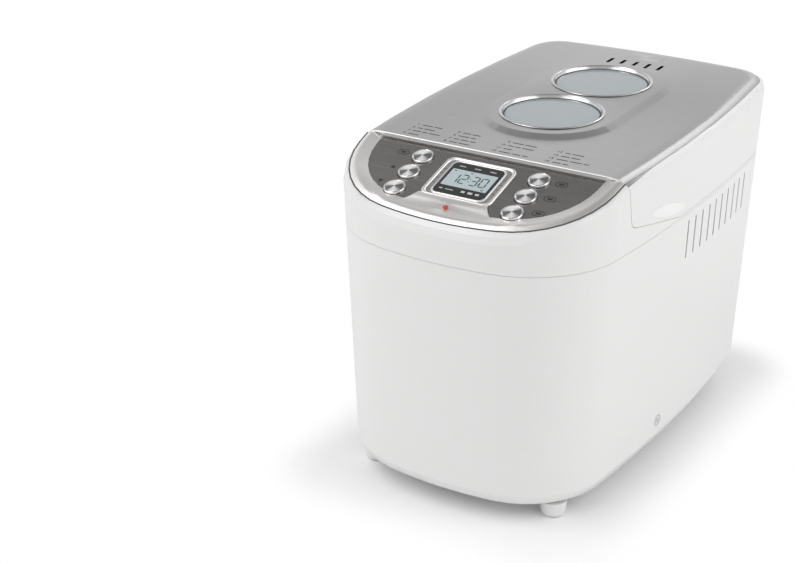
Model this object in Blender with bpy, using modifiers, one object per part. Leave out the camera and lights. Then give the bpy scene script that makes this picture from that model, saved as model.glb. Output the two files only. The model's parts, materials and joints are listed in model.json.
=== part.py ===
"""Two-paddle bread machine. Metres, +Z up, the control panel faces -Y, feet stand on Z = 0."""

import math

import bmesh
import bpy
from mathutils import Matrix, Vector

# ---- Overall sizes -------------------------------------------------------------------------------
BODY_WIDTH = 0.240
BODY_DEPTH = 0.394
HOUSING_HEIGHT = 0.2574  # underside of the housing to the lid at the panel seam
FOOT_HEIGHT = 0.013
PANEL_DEPTH = 0.0889  # front of the body to the seam between panel and lid
WALL = 0.0025
GAP = 0.0003  # between pieces that rest on each other

# ---- Plan outline: five arcs on each side --------------------------------------------------------
FRONT_RADIUS = 1.1821 * BODY_WIDTH
SIDE_BULGE = 0.01153  # the sides draw in this much from their widest point to the rear
REAR_RADIUS = 3.3967 * BODY_WIDTH
FRONT_CORNER_RADIUS = 0.0793
REAR_CORNER_RADIUS = 0.0371
WIDEST_FROM_SEAM = 0.1191
TAPER_X = 0.2016  # share of the width lost per metre of drop below the seam
TAPER_Y = 0.2595
TAPER_CENTRE_FROM_SEAM = 0.122

# ---- Top surfaces --------------------------------------------------------------------------------
LID_SLOPE = math.radians(1.72)
PANEL_SLOPE = math.radians(17.2)
SHOULDER = 0.0069  # white rounded edge outside the steel, at the front and rear
SHOULDER_SIDE = 0.0040  # the same at the sides
RIM_DROP = 0.0037  # the steel rolls down this far at its edge
PLATE_THICKNESS = 0.0009
CROWN = ((0.0, 0.0), (0.0025, 0.0018), (0.006, 0.0031), (0.0115, RIM_DROP))
PANEL_ROLL = ((0.0, 0.0), (0.0022, 0.0014), (0.0052, 0.0020), (0.0142, 0.0))

# ---- Housing joints ------------------------------------------------------------------------------
DECK_DROP = 0.0568  # seam level to the deck under the lid
DECK_THICKNESS = 0.0024
SKIRT_CORNER_DROP = 0.0400
SKIRT_END_FROM_SEAM = 0.0906
SKIRT_CORNER_RADIUS = 0.010
FRONT_LEAN = 0.236  # rearward shift of the lid's front wall per metre of drop
LID_GAP = 0.0006
WELL_STEP = 0.0002  # the deck starts this far behind the gap round the lid
BOTTOM_FILLET = ((0.0100, 0.0), (0.0030, 0.0045), (0.0, 0.0120))

# ---- Side vents ----------------------------------------------------------------------------------
SIDE_VENT_COUNT = 10
SIDE_VENT_PITCH = 0.0144
SIDE_VENT_WIDTH = 0.0024
SIDE_VENT_HEIGHT = 0.032
SIDE_VENT_START_FROM_SEAM = 0.1104
SIDE_VENT_TOP_DROP = 0.0663

# ---- Windows, island and lid vents ---------------------------------------------------------------
PADDLE_SPACING = 0.0898
RING_RADIUS = 0.0425
ISLAND_HEIGHT = 0.003
ISLAND_TOP = RING_RADIUS + 0.0099  # half width of the raised island
ISLAND_FOOT = ISLAND_TOP + 0.0066
WINDOW_OPENING = RING_RADIUS + 0.005  # half width of the shell's opening under the island
RING_WIDTH = 0.0045
RING_NECK = 0.0024  # the ring's rim overlaps the steel by this
RING_RISE = 0.0009
RING_UNDER = 0.0011  # lid surface up to the underside of the ring
PANE_THICKNESS = 0.0025
PANE_LIP = 0.0009  # the pane's edge that the ring holds
LID_VENT_COUNT = 5
LID_VENT_PITCH = 0.0118
LID_VENT_SIZE = (0.0032, 0.0133)
LID_VENT_FROM_REAR = 0.0509
WEB_DEPTH = 0.0038  # lid surface to the underside of the shell's top web
WEB_EDGE_DEPTH = 0.0085  # the same at the rim, under the rolled edge
WEB_EDGE = 0.0120  # width of that deeper rim inside the shoulder
COLLAR = 0.0025
LINER_DEPTH = 0.0168  # lid surface to the top of the inner liner
LINER_THICKNESS = 0.0015
LINER_CHAMFER = 0.004
LINER_MARGIN = (0.0090, 0.0070)  # liner walls outside the chamber walls
LINER_FLANGE = (0.0130, 0.0060)
SCOOP_HALF = (0.0014, 0.030, 0.0085)  # finger grip in the lid's lower edge, each side
SCOOP_FROM_SEAM = 0.068
SCOOP_DROP = 0.0475
SCOOP_LEAN = math.radians(10)

# ---- Hinge ---------------------------------------------------------------------------------------
HINGE_INSET = 0.0045
HINGE_RISE = 0.0055
HINGE_X = 0.045
KNUCKLE_RADIUS = 0.003
KNUCKLE_HALF = 0.0035
LUG_INNER = 0.0042
LUG_OUTER = 0.0115
PIN_RADIUS = 0.0013
HINGE_SWEEP_RISE = 0.0026  # the lid's rear edge clears the deck by this as it tips back

# ---- Control panel -------------------------------------------------------------------------------
BUTTON_X = 0.2083 * BODY_WIDTH
BUTTON_FIRST = 0.0165
BUTTON_RADIUS = 0.0085
BUTTON_PITCH = 2 * BUTTON_RADIUS + 0.004
BUTTON_RISE = 0.0026
BUTTON_TRAVEL = 0.0012
BUTTON_FLANGE = 0.0009
BUTTON_DEPTH = 0.0045
DISPLAY_CENTRE = 0.0332
DISPLAY_HALF = (0.0216, 0.0194)
FRAME_BORDER = (0.0080, 0.0048)
LED_FROM_SEAM = 0.0680
LED_RADIUS = 0.0017
LCD_DEPTH = 0.0070
BOARD_DEPTH = LCD_DEPTH + GAP
BOARD_HALF_WIDTH = BUTTON_X + 0.014

# ---- Baking chamber and pan ----------------------------------------------------------------------
CHAMBER_FROM_SIDE = 0.040
CHAMBER_FROM_SEAM = 0.0321
CHAMBER_FROM_REAR = 0.0490
CHAMBER_CORNER = 0.020
CHAMBER_FILLET = 0.003
CHAMBER_SHEET = 0.001
CHAMBER_FLOOR_Z = 0.0555
CHAMBER_FLANGE = 0.0055
SEAL_WIDTH = 0.0045
SEAL_HEIGHT = 0.0020
PAN_CLEARANCE = (0.0135, 0.0095)  # chamber wall to the pan's outer wall
PAN_TAPER = 0.004
PAN_CORNER = 0.018
PAN_SHEET = 0.0015
PAN_FLOOR_Z = 0.0685
PAN_FILLET = 0.008
PAN_RIM_DROP = 0.0111  # deck to the pan's rim
PAN_RIM = 0.003
PAN_BASE_HALF = 0.0225
CLIP_SIZE = 0.009
CLIP_LENGTH = 0.026
EAR_HALF = 0.007
EAR_THICKNESS = 0.0025
HANDLE_RADIUS = 0.0016
HANDLE_BEND = 0.006
HANDLE_SHORT = 0.0110  # the folded bail ends this far inside the pan's side
HEATER_RADIUS = 0.0032
HEATER_Z = 0.0662
HEATER_FROM_WALL = 0.0065
HEATER_CORNER = 0.014
HEATER_END_X = 0.016
HEATER_TAIL = 0.010
PROBE_RADIUS = 0.003
PROBE_REACH = 0.0095
PROBE_FLANGE = 0.0065
PROBE_Z = 0.105
PADDLE_HEIGHT = 0.0235
PADDLE_HUB = 0.0095
PADDLE_REACH = 0.036
PADDLE_BLADE = 0.0036

# ---- Drive ---------------------------------------------------------------------------------------
SHAFT_RADIUS = 0.004
DOG_RADIUS = 0.012
DOG_DISC_Z = 0.0580
DOG_DISC = 0.002
DOG_HEIGHT = 0.0045
DOG_FROM_AXIS = 0.0088
DOG_PIN = 0.0024
BAR_THICKNESS = 0.0045
CHASSIS_Z = 0.0455
CHASSIS_THICKNESS = 0.003
CHASSIS_HALF_WIDTH = 0.058
CHASSIS_AHEAD = 0.030  # front shaft to the front edge of the chassis
CHASSIS_BEHIND = 0.022
LEG_RADIUS = 0.0045
BIG_PULLEY_RADIUS = 0.0385
SMALL_PULLEY_RADIUS = 0.009
LINK_PULLEY_RADIUS = 0.016
FLANGE_DEPTH = 0.0035
PULLEY_LIP = 0.001
DRIVE_BELT_Z = (0.0225, 0.0305)
LINK_BELT_Z = (0.0350, 0.0405)
BELT_THICKNESS = 0.002
BUSH_RADIUS = 0.0068
BUSH_NECK = 0.0060
MOTOR_RADIUS = 0.034
MOTOR_HEIGHT = 0.062
MOTOR_SHAFT = 0.003
MOTOR_SHAFT_RISE = 0.018  # above the motor's bracket
MOTOR_PLATE_TOP = 0.0440
MOTOR_FROM_CHAMBER = 0.050  # motor axis ahead of the chamber's front wall
CAPACITOR = (0.0115, 0.045)  # radius and height
CAPACITOR_FROM_MOTOR = (0.066, 0.008)
POWER_BOARD_FROM_CHAMBER = 0.0185
POWER_BOARD_SIZE = (0.0016, 0.095, 0.080)
GLAND_Z = 0.050
GLAND_NECK = 0.0068
GLAND_FLANGE = 0.0100
GLAND_BORE = 0.0038
BASE_THICKNESS = 0.0025
FOOT_RADIUS = 0.0105
FOOT_INSET = (0.0385, 0.056)  # foot centre from the side and from the ends of the body

# ---- Derived places ------------------------------------------------------------------------------
HALF_WIDTH = BODY_WIDTH / 2
FRONT_Y = -BODY_DEPTH / 2
REAR_Y = BODY_DEPTH / 2
SEAM_Y = FRONT_Y + PANEL_DEPTH
WIDEST_Y = SEAM_Y + WIDEST_FROM_SEAM
SIDE_RADIUS = (REAR_Y - WIDEST_Y) ** 2 / (2 * SIDE_BULGE)
SEAM_Z = FOOT_HEIGHT + HOUSING_HEIGHT
DECK_TOP = SEAM_Z - DECK_DROP
SKIRT_Z = DECK_TOP + GAP
JOIN_Z = DECK_TOP - DECK_THICKNESS
CHAMBER_FRONT = SEAM_Y + CHAMBER_FROM_SEAM
CHAMBER_REAR = REAR_Y - CHAMBER_FROM_REAR
CHAMBER_Y = (CHAMBER_FRONT + CHAMBER_REAR) / 2
CHAMBER_HALF = (HALF_WIDTH - CHAMBER_FROM_SIDE, (CHAMBER_REAR - CHAMBER_FRONT) / 2)
PADDLE_YS = (CHAMBER_Y - PADDLE_SPACING / 2, CHAMBER_Y + PADDLE_SPACING / 2)
WINDOW_PLACES = [(0.0, y - SEAM_Y) for y in PADDLE_YS]
LINER_HALF = tuple(size + margin for size, margin in zip(CHAMBER_HALF, LINER_MARGIN))
PAN_HALF = tuple(size - clearance for size, clearance in zip(CHAMBER_HALF, PAN_CLEARANCE))
PAN_RIM_Z = DECK_TOP - PAN_RIM_DROP
HANDLE_PIVOT_Z = PAN_RIM_Z + HANDLE_RADIUS + 2 * GAP
PADDLE_SEAT_Z = PAN_FLOOR_Z + PAN_SHEET + 2 * GAP
LID_VENT_Y = REAR_Y - LID_VENT_FROM_REAR - SEAM_Y
BASE_TOP = FOOT_HEIGHT + BASE_THICKNESS
MOTOR_Y = CHAMBER_FRONT - MOTOR_FROM_CHAMBER
SUPPORT_Z = BASE_TOP + GAP


def taper_x(x, z):
    return x * (1 + TAPER_X * (z - SEAM_Z))


def taper_y(y, z):
    centre = SEAM_Y + TAPER_CENTRE_FROM_SEAM
    return centre + (y - centre) * (1 + TAPER_Y * (z - SEAM_Z))


HINGE_Y = taper_y(REAR_Y, DECK_TOP) - HINGE_INSET
HINGE_Z = DECK_TOP + HINGE_RISE


def lid_surface(y):
    """Height of the flat of the steel lid plate."""
    return SEAM_Z + (y - SEAM_Y) * math.tan(LID_SLOPE)


def lid_rim(y):
    return lid_surface(y) - RIM_DROP


def panel_surface(y):
    """Height of the control panel, whose flat is level with its rim."""
    return SEAM_Z - RIM_DROP + (y - SEAM_Y) * math.tan(PANEL_SLOPE)


# ---- Scene and materials -------------------------------------------------------------------------
for leftover in list(bpy.data.objects):
    bpy.data.objects.remove(leftover, do_unlink=True)
PARTS = bpy.data.collections.new("bread_machine")
CUTTERS = bpy.data.collections.new("cutters")
CUTTERS.hide_render = True
for collection in (PARTS, CUTTERS):
    bpy.context.scene.collection.children.link(collection)


def material(name, colour, roughness, metallic=0.0, transmission=0.0):
    made = bpy.data.materials.new(name)
    made.use_nodes = True
    shader = made.node_tree.nodes["Principled BSDF"]
    shader.inputs["Base Color"].default_value = (*colour, 1.0)
    shader.inputs["Roughness"].default_value = roughness
    shader.inputs["Metallic"].default_value = metallic
    shader.inputs["Transmission Weight"].default_value = transmission
    return made


WHITE = material("white plastic", (0.80, 0.80, 0.79), 0.35)
STEEL = material("brushed steel", (0.42, 0.42, 0.42), 0.32, 1.0)
DARK_STEEL = material("dark brushed steel", (0.16, 0.15, 0.145), 0.35, 1.0)
CHROME = material("chrome", (0.75, 0.75, 0.76), 0.08, 1.0)
GLASS = material("window glass", (0.55, 0.60, 0.62), 0.05, 0.0, 0.8)
BLACK = material("black plastic", (0.02, 0.02, 0.02), 0.4)
LCD = material("display", (0.48, 0.56, 0.58), 0.3)
RED = material("red lamp", (0.6, 0.04, 0.03), 0.25)
BOARD = material("circuit board", (0.02, 0.16, 0.07), 0.5)
COATING = material("non-stick coating", (0.035, 0.035, 0.038), 0.45)
SHEET = material("zinc sheet", (0.55, 0.55, 0.56), 0.4, 1.0)
ALLOY = material("cast alloy", (0.45, 0.45, 0.46), 0.45, 1.0)
RUBBER = material("rubber", (0.05, 0.05, 0.05), 0.8)
SILICONE = material("grey silicone", (0.35, 0.35, 0.35), 0.7)
PALE_RUBBER = material("pale foot rubber", (0.72, 0.72, 0.71), 0.6)
BRONZE = material("bronze", (0.42, 0.26, 0.11), 0.4, 1.0)


# ---- Building blocks -----------------------------------------------------------------------------
def add(bm, name, look, parent=None):
    """Turns a bmesh into an object. With no look it is a cutter, which never renders."""
    bmesh.ops.recalc_face_normals(bm, faces=bm.faces)
    mesh = bpy.data.meshes.new(name)
    bm.to_mesh(mesh)
    bm.free()
    made = bpy.data.objects.new(name, mesh)
    (PARTS if look else CUTTERS).objects.link(made)
    if look:
        mesh.materials.append(look)
        mesh.shade_smooth()
        mesh.set_sharp_from_angle(angle=math.radians(35))
    else:
        made.hide_render = True
        made.display_type = "WIRE"
    made.parent = parent
    return made


def boolean(target, operation, *tools):
    for tool in tools:
        modifier = target.modifiers.new(f"{operation.lower()} {tool.name}", "BOOLEAN")
        modifier.operation = operation
        modifier.object = tool
        modifier.solver = "EXACT"
    return target


def arc(centre, radius, start, end, steps):
    turns = [start + (end - start) * i / steps for i in range(steps + 1)]
    return [(centre[0] + radius * math.cos(a), centre[1] + radius * math.sin(a)) for a in turns]


def plan(inset):
    """The body's outline in plan, moved in by inset, anticlockwise from the front centre."""
    side = (HALF_WIDTH - SIDE_RADIUS, WIDEST_Y)
    front = (0.0, FRONT_Y + FRONT_RADIUS)
    rear = (0.0, REAR_Y - REAR_RADIUS)
    front_corner = meeting(side, SIDE_RADIUS, front, FRONT_RADIUS, FRONT_CORNER_RADIUS, -1)
    rear_corner = meeting(side, SIDE_RADIUS, rear, REAR_RADIUS, REAR_CORNER_RADIUS, 1)

    def bearing(centre, point):
        return math.atan2(point[1] - centre[1], point[0] - centre[0])

    turns = (
        (front, FRONT_RADIUS, -math.pi / 2, bearing(front, front_corner), 4),
        (front_corner, FRONT_CORNER_RADIUS, bearing(front, front_corner), bearing(side, front_corner), 8),
        (side, SIDE_RADIUS, bearing(side, front_corner), bearing(side, rear_corner), 5),
        (rear_corner, REAR_CORNER_RADIUS, bearing(side, rear_corner), bearing(rear, rear_corner), 7),
        (rear, REAR_RADIUS, bearing(rear, rear_corner), math.pi / 2, 3),
    )
    half = []
    for centre, radius, start, end, steps in turns:
        half += arc(centre, radius - inset, start, end, steps)[:-1]
    half.append((0.0, REAR_Y - inset))
    return half + [(-x, y) for x, y in half[-2:0:-1]]


def meeting(centre_a, radius_a, centre_b, radius_b, corner, side):
    """Centre of the corner arc that touches two larger arcs from inside."""
    a, b = Vector(centre_a), Vector(centre_b)
    reach_a, reach_b = radius_a - corner, radius_b - corner
    span = (b - a).length
    along = (reach_a**2 - reach_b**2 + span**2) / (2 * span)
    across = math.sqrt(reach_a**2 - along**2)
    step = (b - a) / span
    foot = a + step * along
    normal = Vector((-step.y, step.x))
    return tuple(max((foot + normal * across, foot - normal * across), key=lambda p: p.x + side * p.y))


def ring(inset, height):
    """The tapered outline at a height, which is a number or a function of Y."""
    points = []
    for x, y in plan(inset):
        z = height(y) if callable(height) else height
        moved = taper_y(y, z)
        z = height(moved) if callable(height) else height
        points.append((taper_x(x, z), moved, z))
    return points


def top_ring(inset, height):
    """The outline near the rounded shoulder, which is narrower at the sides than at the ends."""
    spared = (SHOULDER - SHOULDER_SIDE) * min(inset / SHOULDER, 1.0)
    spread = 1 + spared / (HALF_WIDTH - inset)
    return [(x * spread, y, z) for x, y, z in ring(inset, height)]


def rect_outline(half_x, half_y, radius, steps=4):
    points = []
    for turn, (sx, sy) in enumerate(((1, -1), (1, 1), (-1, 1), (-1, -1))):
        centre = (sx * (half_x - radius), sy * (half_y - radius))
        start = (turn - 1) * math.pi / 2
        points += arc(centre, radius, start, start + math.pi / 2, steps)
    return points


def rect_ring(half_x, half_y, radius, height, centre_y=0.0, steps=4):
    points = []
    for x, y in rect_outline(half_x, half_y, radius, steps):
        z = height(y + centre_y) if callable(height) else height
        points.append((x, y + centre_y, z))
    return points


def loft(rings, name, look, parent=None, capped=True):
    """A closed skin through rings of equal length. Without caps the last ring joins the first."""
    bm = bmesh.new()
    rows = [[bm.verts.new(point) for point in row] for row in rings]
    pairs = list(zip(rows, rows[1:]))
    if not capped:
        pairs.append((rows[-1], rows[0]))
    for low, high in pairs:
        for i in range(len(low)):
            j = (i + 1) % len(low)
            bm.faces.new((low[i], low[j], high[j], high[i]))
    if capped:
        bm.faces.new(rows[0][::-1])
        bm.faces.new(rows[-1])
    return add(bm, name, look, parent)


def prism(points, travel, name, look=None, parent=None):
    """A flat outline pushed along a vector."""
    bm = bmesh.new()
    face = bm.faces.new([bm.verts.new(point) for point in points])
    pushed = bmesh.ops.extrude_face_region(bm, geom=[face])
    moved = [item for item in pushed["geom"] if isinstance(item, bmesh.types.BMVert)]
    bmesh.ops.translate(bm, verts=moved, vec=travel)
    return add(bm, name, look, parent)


def flat(points, low, high, name, look=None, parent=None):
    return prism([(x, y, low) for x, y in points], (0, 0, high - low), name, look, parent)


def boxes(spans, name, look=None, parent=None):
    """One mesh of separate boxes, each given as its lowest and highest corner."""
    bm = bmesh.new()
    for low, high in spans:
        made = bmesh.ops.create_cube(bm, size=1.0)["verts"]
        size = [b - a for a, b in zip(low, high)]
        bmesh.ops.scale(bm, vec=size, verts=made)
        bmesh.ops.translate(bm, vec=[(a + b) / 2 for a, b in zip(low, high)], verts=made)
    return add(bm, name, look, parent)


def rods(centres, radius, low, high, name, look=None, parent=None, segments=20):
    """One mesh of upright cylinders at the given X, Y places."""
    bm = bmesh.new()
    for x, y in centres:
        made = bmesh.ops.create_cone(
            bm, cap_ends=True, segments=segments, radius1=radius, radius2=radius, depth=high - low
        )["verts"]
        bmesh.ops.translate(bm, vec=(x, y, (low + high) / 2), verts=made)
    return add(bm, name, look, parent)


def bars(spans, radius, y, z, name, look=None, segments=16):
    """One mesh of cylinders along X, each given as its two ends."""
    bm = bmesh.new()
    for low, high in spans:
        made = bmesh.ops.create_cone(
            bm, cap_ends=True, segments=segments, radius1=radius, radius2=radius, depth=high - low
        )["verts"]
        bmesh.ops.rotate(bm, cent=(0, 0, 0), matrix=Matrix.Rotation(math.pi / 2, 3, "Y"), verts=made)
        bmesh.ops.translate(bm, vec=((low + high) / 2, y, z), verts=made)
    return add(bm, name, look)


def turned(profile, name, look=None, parent=None, steps=16, closed=False):
    """A profile of (radius, height) points, listed down its outer side, turned about Z."""
    bm = bmesh.new()
    points = [bm.verts.new((radius, 0.0, height)) for radius, height in profile]
    for a, b in zip(points, points[1:]):
        bm.edges.new((a, b))
    if closed:
        bm.edges.new((points[-1], points[0]))
    made = add(bm, name, look, parent)
    screw = made.modifiers.new("turn", "SCREW")
    screw.steps = screw.render_steps = steps
    screw.use_merge_vertices = True
    screw.merge_threshold = 0.00005
    return made


def bevelled(made, width, segments=1):
    bevel = made.modifiers.new("round", "BEVEL")
    bevel.width = width
    bevel.segments = segments
    bevel.limit_method = "ANGLE"
    return made


def tube(points, radius, name, look, closed=False):
    """A wire along the points, made a mesh so that its ends are closed."""
    curve = bpy.data.curves.new(name, "CURVE")
    curve.dimensions = "3D"
    curve.bevel_depth = radius
    curve.bevel_resolution = 1
    curve.use_fill_caps = True
    spline = curve.splines.new("POLY")
    spline.points.add(len(points) - 1)
    for knot, point in zip(spline.points, points):
        knot.co = (*point, 1.0)
    spline.use_cyclic_u = closed
    made = bpy.data.objects.new(name, curve)
    PARTS.objects.link(made)
    curve.materials.append(look)
    return made


def stadium(half, straight, steps=16):
    """Two half circles joined by straight sides along Y."""
    return arc((0, -straight), half, -math.pi, 0, steps) + arc((0, straight), half, 0, math.pi, steps)


def stadium_ring(half, height, centre_y):
    return [(x, y + centre_y, height) for x, y in stadium(half, PADDLE_SPACING / 2)]


# ---- Frames that tilted pieces are placed in -----------------------------------------------------
def tilted_frame(name, height, slope):
    frame = bpy.data.objects.new(name, None)
    frame.location = (0.0, SEAM_Y, height)
    frame.rotation_euler = (slope, 0.0, 0.0)
    PARTS.objects.link(frame)
    return frame


LID_FRAME = tilted_frame("lid_frame", SEAM_Z, LID_SLOPE)
PANEL_FRAME = tilted_frame("panel_frame", SEAM_Z - RIM_DROP, PANEL_SLOPE)


# ---- Side view of the joint between lid and housing ----------------------------------------------
def front_line(z, shift):
    """Y of the lid's leaning front wall at a height; shift moves it back."""
    return SEAM_Y + FRONT_LEAN * (SEAM_Z - z) + shift


def lid_profile(shift, drop, rear_step=0.0):
    """Side outline of the room the lid takes, as Y, Z points; drop lowers its lower edge."""
    high = SEAM_Z + 0.16
    corner_z = SEAM_Z - SKIRT_CORNER_DROP - drop
    corner = Vector((front_line(corner_z, shift), corner_z))
    end = Vector((SEAM_Y + SKIRT_END_FROM_SEAM, SKIRT_Z - drop))
    top = Vector((front_line(high, shift), high))
    points = [tuple(top)] + rounded(top, corner, end, SKIRT_CORNER_RADIUS, 5) + [tuple(end)]
    if rear_step:
        step_y = HINGE_Y - KNUCKLE_RADIUS - 2 * LID_GAP
        points += [(step_y, end.y), (step_y, end.y + rear_step)]
    points += [(REAR_Y + 0.05, end.y + rear_step), (REAR_Y + 0.05, high)]
    return points


def rounded(before, corner, after, radius, steps):
    """Arc that rounds the corner between two straight stretches."""
    one, two = (before - corner).normalized(), (after - corner).normalized()
    half = one.angle(two) / 2
    middle = corner + (one + two).normalized() * (radius / math.sin(half))
    start = corner + one * (radius / math.tan(half)) - middle
    sweep = start.angle_signed(corner + two * (radius / math.tan(half)) - middle)
    base = math.atan2(start.y, start.x)
    return arc(middle, radius, base, base - sweep, steps)


def across(points, name):
    """Side outline pushed across the whole width, as a cutter."""
    reach = BODY_WIDTH
    return prism([(-reach, y, z) for y, z in points], (2 * reach, 0, 0), name)


# ---- Housing -------------------------------------------------------------------------------------
def lower_housing():
    top = JOIN_Z
    outer = [ring(inset, FOOT_HEIGHT + rise) for inset, rise in BOTTOM_FILLET] + [ring(0.0, top)]
    inner = [ring(WALL, top)]
    inner += [ring(inset + WALL, FOOT_HEIGHT + rise) for inset, rise in reversed(BOTTOM_FILLET)]
    body = loft(outer + inner, "lower_housing", WHITE, capped=False)
    top_z = SEAM_Z - SIDE_VENT_TOP_DROP
    slots = []
    for i in range(SIDE_VENT_COUNT):
        y = SEAM_Y + SIDE_VENT_START_FROM_SEAM + i * SIDE_VENT_PITCH
        low = (-BODY_WIDTH, y - SIDE_VENT_WIDTH / 2, top_z - SIDE_VENT_HEIGHT)
        slots.append((low, (BODY_WIDTH, y + SIDE_VENT_WIDTH / 2, top_z)))
    boolean(body, "DIFFERENCE", boxes(slots, "side_vent_cutter"))
    gland_hole = rods([(0.0, 0.0)], GLAND_NECK + GAP, -0.02, 0.02, "gland_hole_cutter")
    place_on_rear_wall(gland_hole)
    boolean(body, "DIFFERENCE", gland_hole)


def place_on_rear_wall(made):
    """Turns a piece's Z axis square to the rear wall and puts it on the wall's outer face."""
    lean = math.atan(TAPER_Y * (REAR_Y - SEAM_Y - TAPER_CENTRE_FROM_SEAM))
    made.rotation_euler = (-math.pi / 2 - lean, 0, 0)
    made.location = (0.0, taper_y(REAR_Y, GLAND_Z), GLAND_Z)


def cord_gland():
    outer, inner = 2 * GAP, -WALL - 2 * GAP
    profile = (
        (GLAND_BORE, 0.0050), (GLAND_NECK, 0.0050), (GLAND_FLANGE, 0.0025), (GLAND_FLANGE, outer),
        (GLAND_NECK, outer), (GLAND_NECK, inner), (GLAND_FLANGE, inner), (GLAND_FLANGE, inner - 0.002),
        (GLAND_BORE, inner - 0.002),
    )
    place_on_rear_wall(turned(profile, "cord_gland", RUBBER, closed=True))


def upper_housing():
    """Control head and the deck under the lid, in one moulding."""
    low = JOIN_Z + GAP
    rings = [
        ring(0.0, low),
        ring(0.0, lambda y: panel_surface(y) - SHOULDER),
        top_ring(0.29 * SHOULDER, lambda y: panel_surface(y) - 0.29 * SHOULDER),
        top_ring(SHOULDER, panel_surface),
        top_ring(SHOULDER, lambda y: panel_surface(y) - PLATE_THICKNESS - GAP),
    ]
    body = loft(rings, "upper_housing", WHITE)
    lid_room = across(lid_profile(-LID_GAP, GAP), "lid_room_cutter")
    ledge = SHOULDER + 0.006
    head = loft(
        [
            ring(WALL + 0.002, low - 0.02),
            ring(WALL + 0.002, lambda y: panel_surface(y) - 0.0055),
            ring(ledge, lambda y: panel_surface(y) - 0.0055),
            ring(ledge, lambda y: panel_surface(y) + 0.01),
        ],
        "head_room_cutter", None,
    )
    high = SEAM_Z + 0.1
    wall_shift = -LID_GAP - WALL
    ahead = [
        (front_line(0.1, wall_shift), 0.1), (front_line(high, wall_shift), high),
        (FRONT_Y - 0.05, high), (FRONT_Y - 0.05, 0.1),
    ]
    boolean(head, "INTERSECT", across(ahead, "head_side_cutter"))
    well = loft([ring(WALL, DECK_TOP), ring(WALL, high)], "deck_well_cutter", None)
    well_shift = WELL_STEP - LID_GAP
    behind = [
        (front_line(0.1, well_shift), 0.1), (REAR_Y + 0.05, 0.1), (REAR_Y + 0.05, high + 0.05),
        (front_line(high + 0.05, well_shift), high + 0.05),
    ]
    boolean(well, "INTERSECT", across(behind, "deck_side_cutter"))
    hole = [size + CHAMBER_SHEET + GAP for size in CHAMBER_HALF]
    opening = rect_outline(*hole, CHAMBER_CORNER + CHAMBER_SHEET + GAP)
    opening = [(x, y + CHAMBER_Y) for x, y in opening]
    chamber_hole = flat(opening, low - 0.01, DECK_TOP + 0.01, "chamber_hole_cutter")
    boolean(body, "DIFFERENCE", lid_room, head, well, chamber_hole)
    boolean(body, "UNION", *hinge_lugs())
    boolean(body, "DIFFERENCE", hinge_bore("housing_bore_cutter"))


def hinge_spans(inner, outer):
    turns = [(side, turn) for side in (-1, 1) for turn in (-1, 1)]
    return [(side * HINGE_X + turn * inner, side * HINGE_X + turn * outer) for side, turn in turns]


def hinge_lugs():
    """Fixed lugs on the deck, two for each pin."""
    spans = [tuple(sorted(span)) for span in hinge_spans(LUG_INNER, LUG_OUTER)]
    barrels = bars(spans, KNUCKLE_RADIUS, HINGE_Y, HINGE_Z, "lug_barrels")
    half, foot = KNUCKLE_RADIUS * 0.9, DECK_TOP - DECK_THICKNESS / 2
    blocks = boxes(
        [((low, HINGE_Y - half, foot), (high, HINGE_Y + half, HINGE_Z)) for low, high in spans],
        "lug_blocks",
    )
    return blocks, barrels


def hinge_bore(name):
    reach = LUG_OUTER + 0.004
    spans = [(side * HINGE_X - reach, side * HINGE_X + reach) for side in (-1, 1)]
    return bars(spans, PIN_RADIUS + GAP, HINGE_Y, HINGE_Z, name)


def hinge_pins():
    for side, name in ((-1, "left"), (1, "right")):
        span = (side * HINGE_X - LUG_OUTER, side * HINGE_X + LUG_OUTER)
        bars([span], PIN_RADIUS, HINGE_Y, HINGE_Z, f"hinge_pin_{name}", SHEET)


def foot_places():
    x = HALF_WIDTH - FOOT_INSET[0]
    front, rear = FRONT_Y + FOOT_INSET[1], REAR_Y - FOOT_INSET[1]
    return {
        "front_left": (-x, front),
        "front_right": (x, front),
        "rear_left": (-x, rear),
        "rear_right": (x, rear),
    }


def feet():
    top = FOOT_HEIGHT - GAP
    profile = (
        (0.0, top), (FOOT_RADIUS, top), (FOOT_RADIUS * 0.93, 0.003), (FOOT_RADIUS * 0.82, 0.0008),
        (FOOT_RADIUS * 0.7, 0.0), (0.0, 0.0),
    )
    for name, (x, y) in foot_places().items():
        turned(profile, f"foot_{name}", PALE_RUBBER).location = (x, y, 0)


def base_plate():
    inset = BOTTOM_FILLET[0][0] + WALL + GAP
    plate = loft([ring(inset, FOOT_HEIGHT), ring(inset, BASE_TOP)], "base_plate", WHITE)
    slots = []
    for i in range(6):
        y = MOTOR_Y + (i - 2.5) * 0.010
        slots.append(((-0.022, y - 0.0015, 0.0), (0.022, y + 0.0015, 0.03)))
    boolean(plate, "DIFFERENCE", boxes(slots, "base_vent_cutter"))


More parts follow.
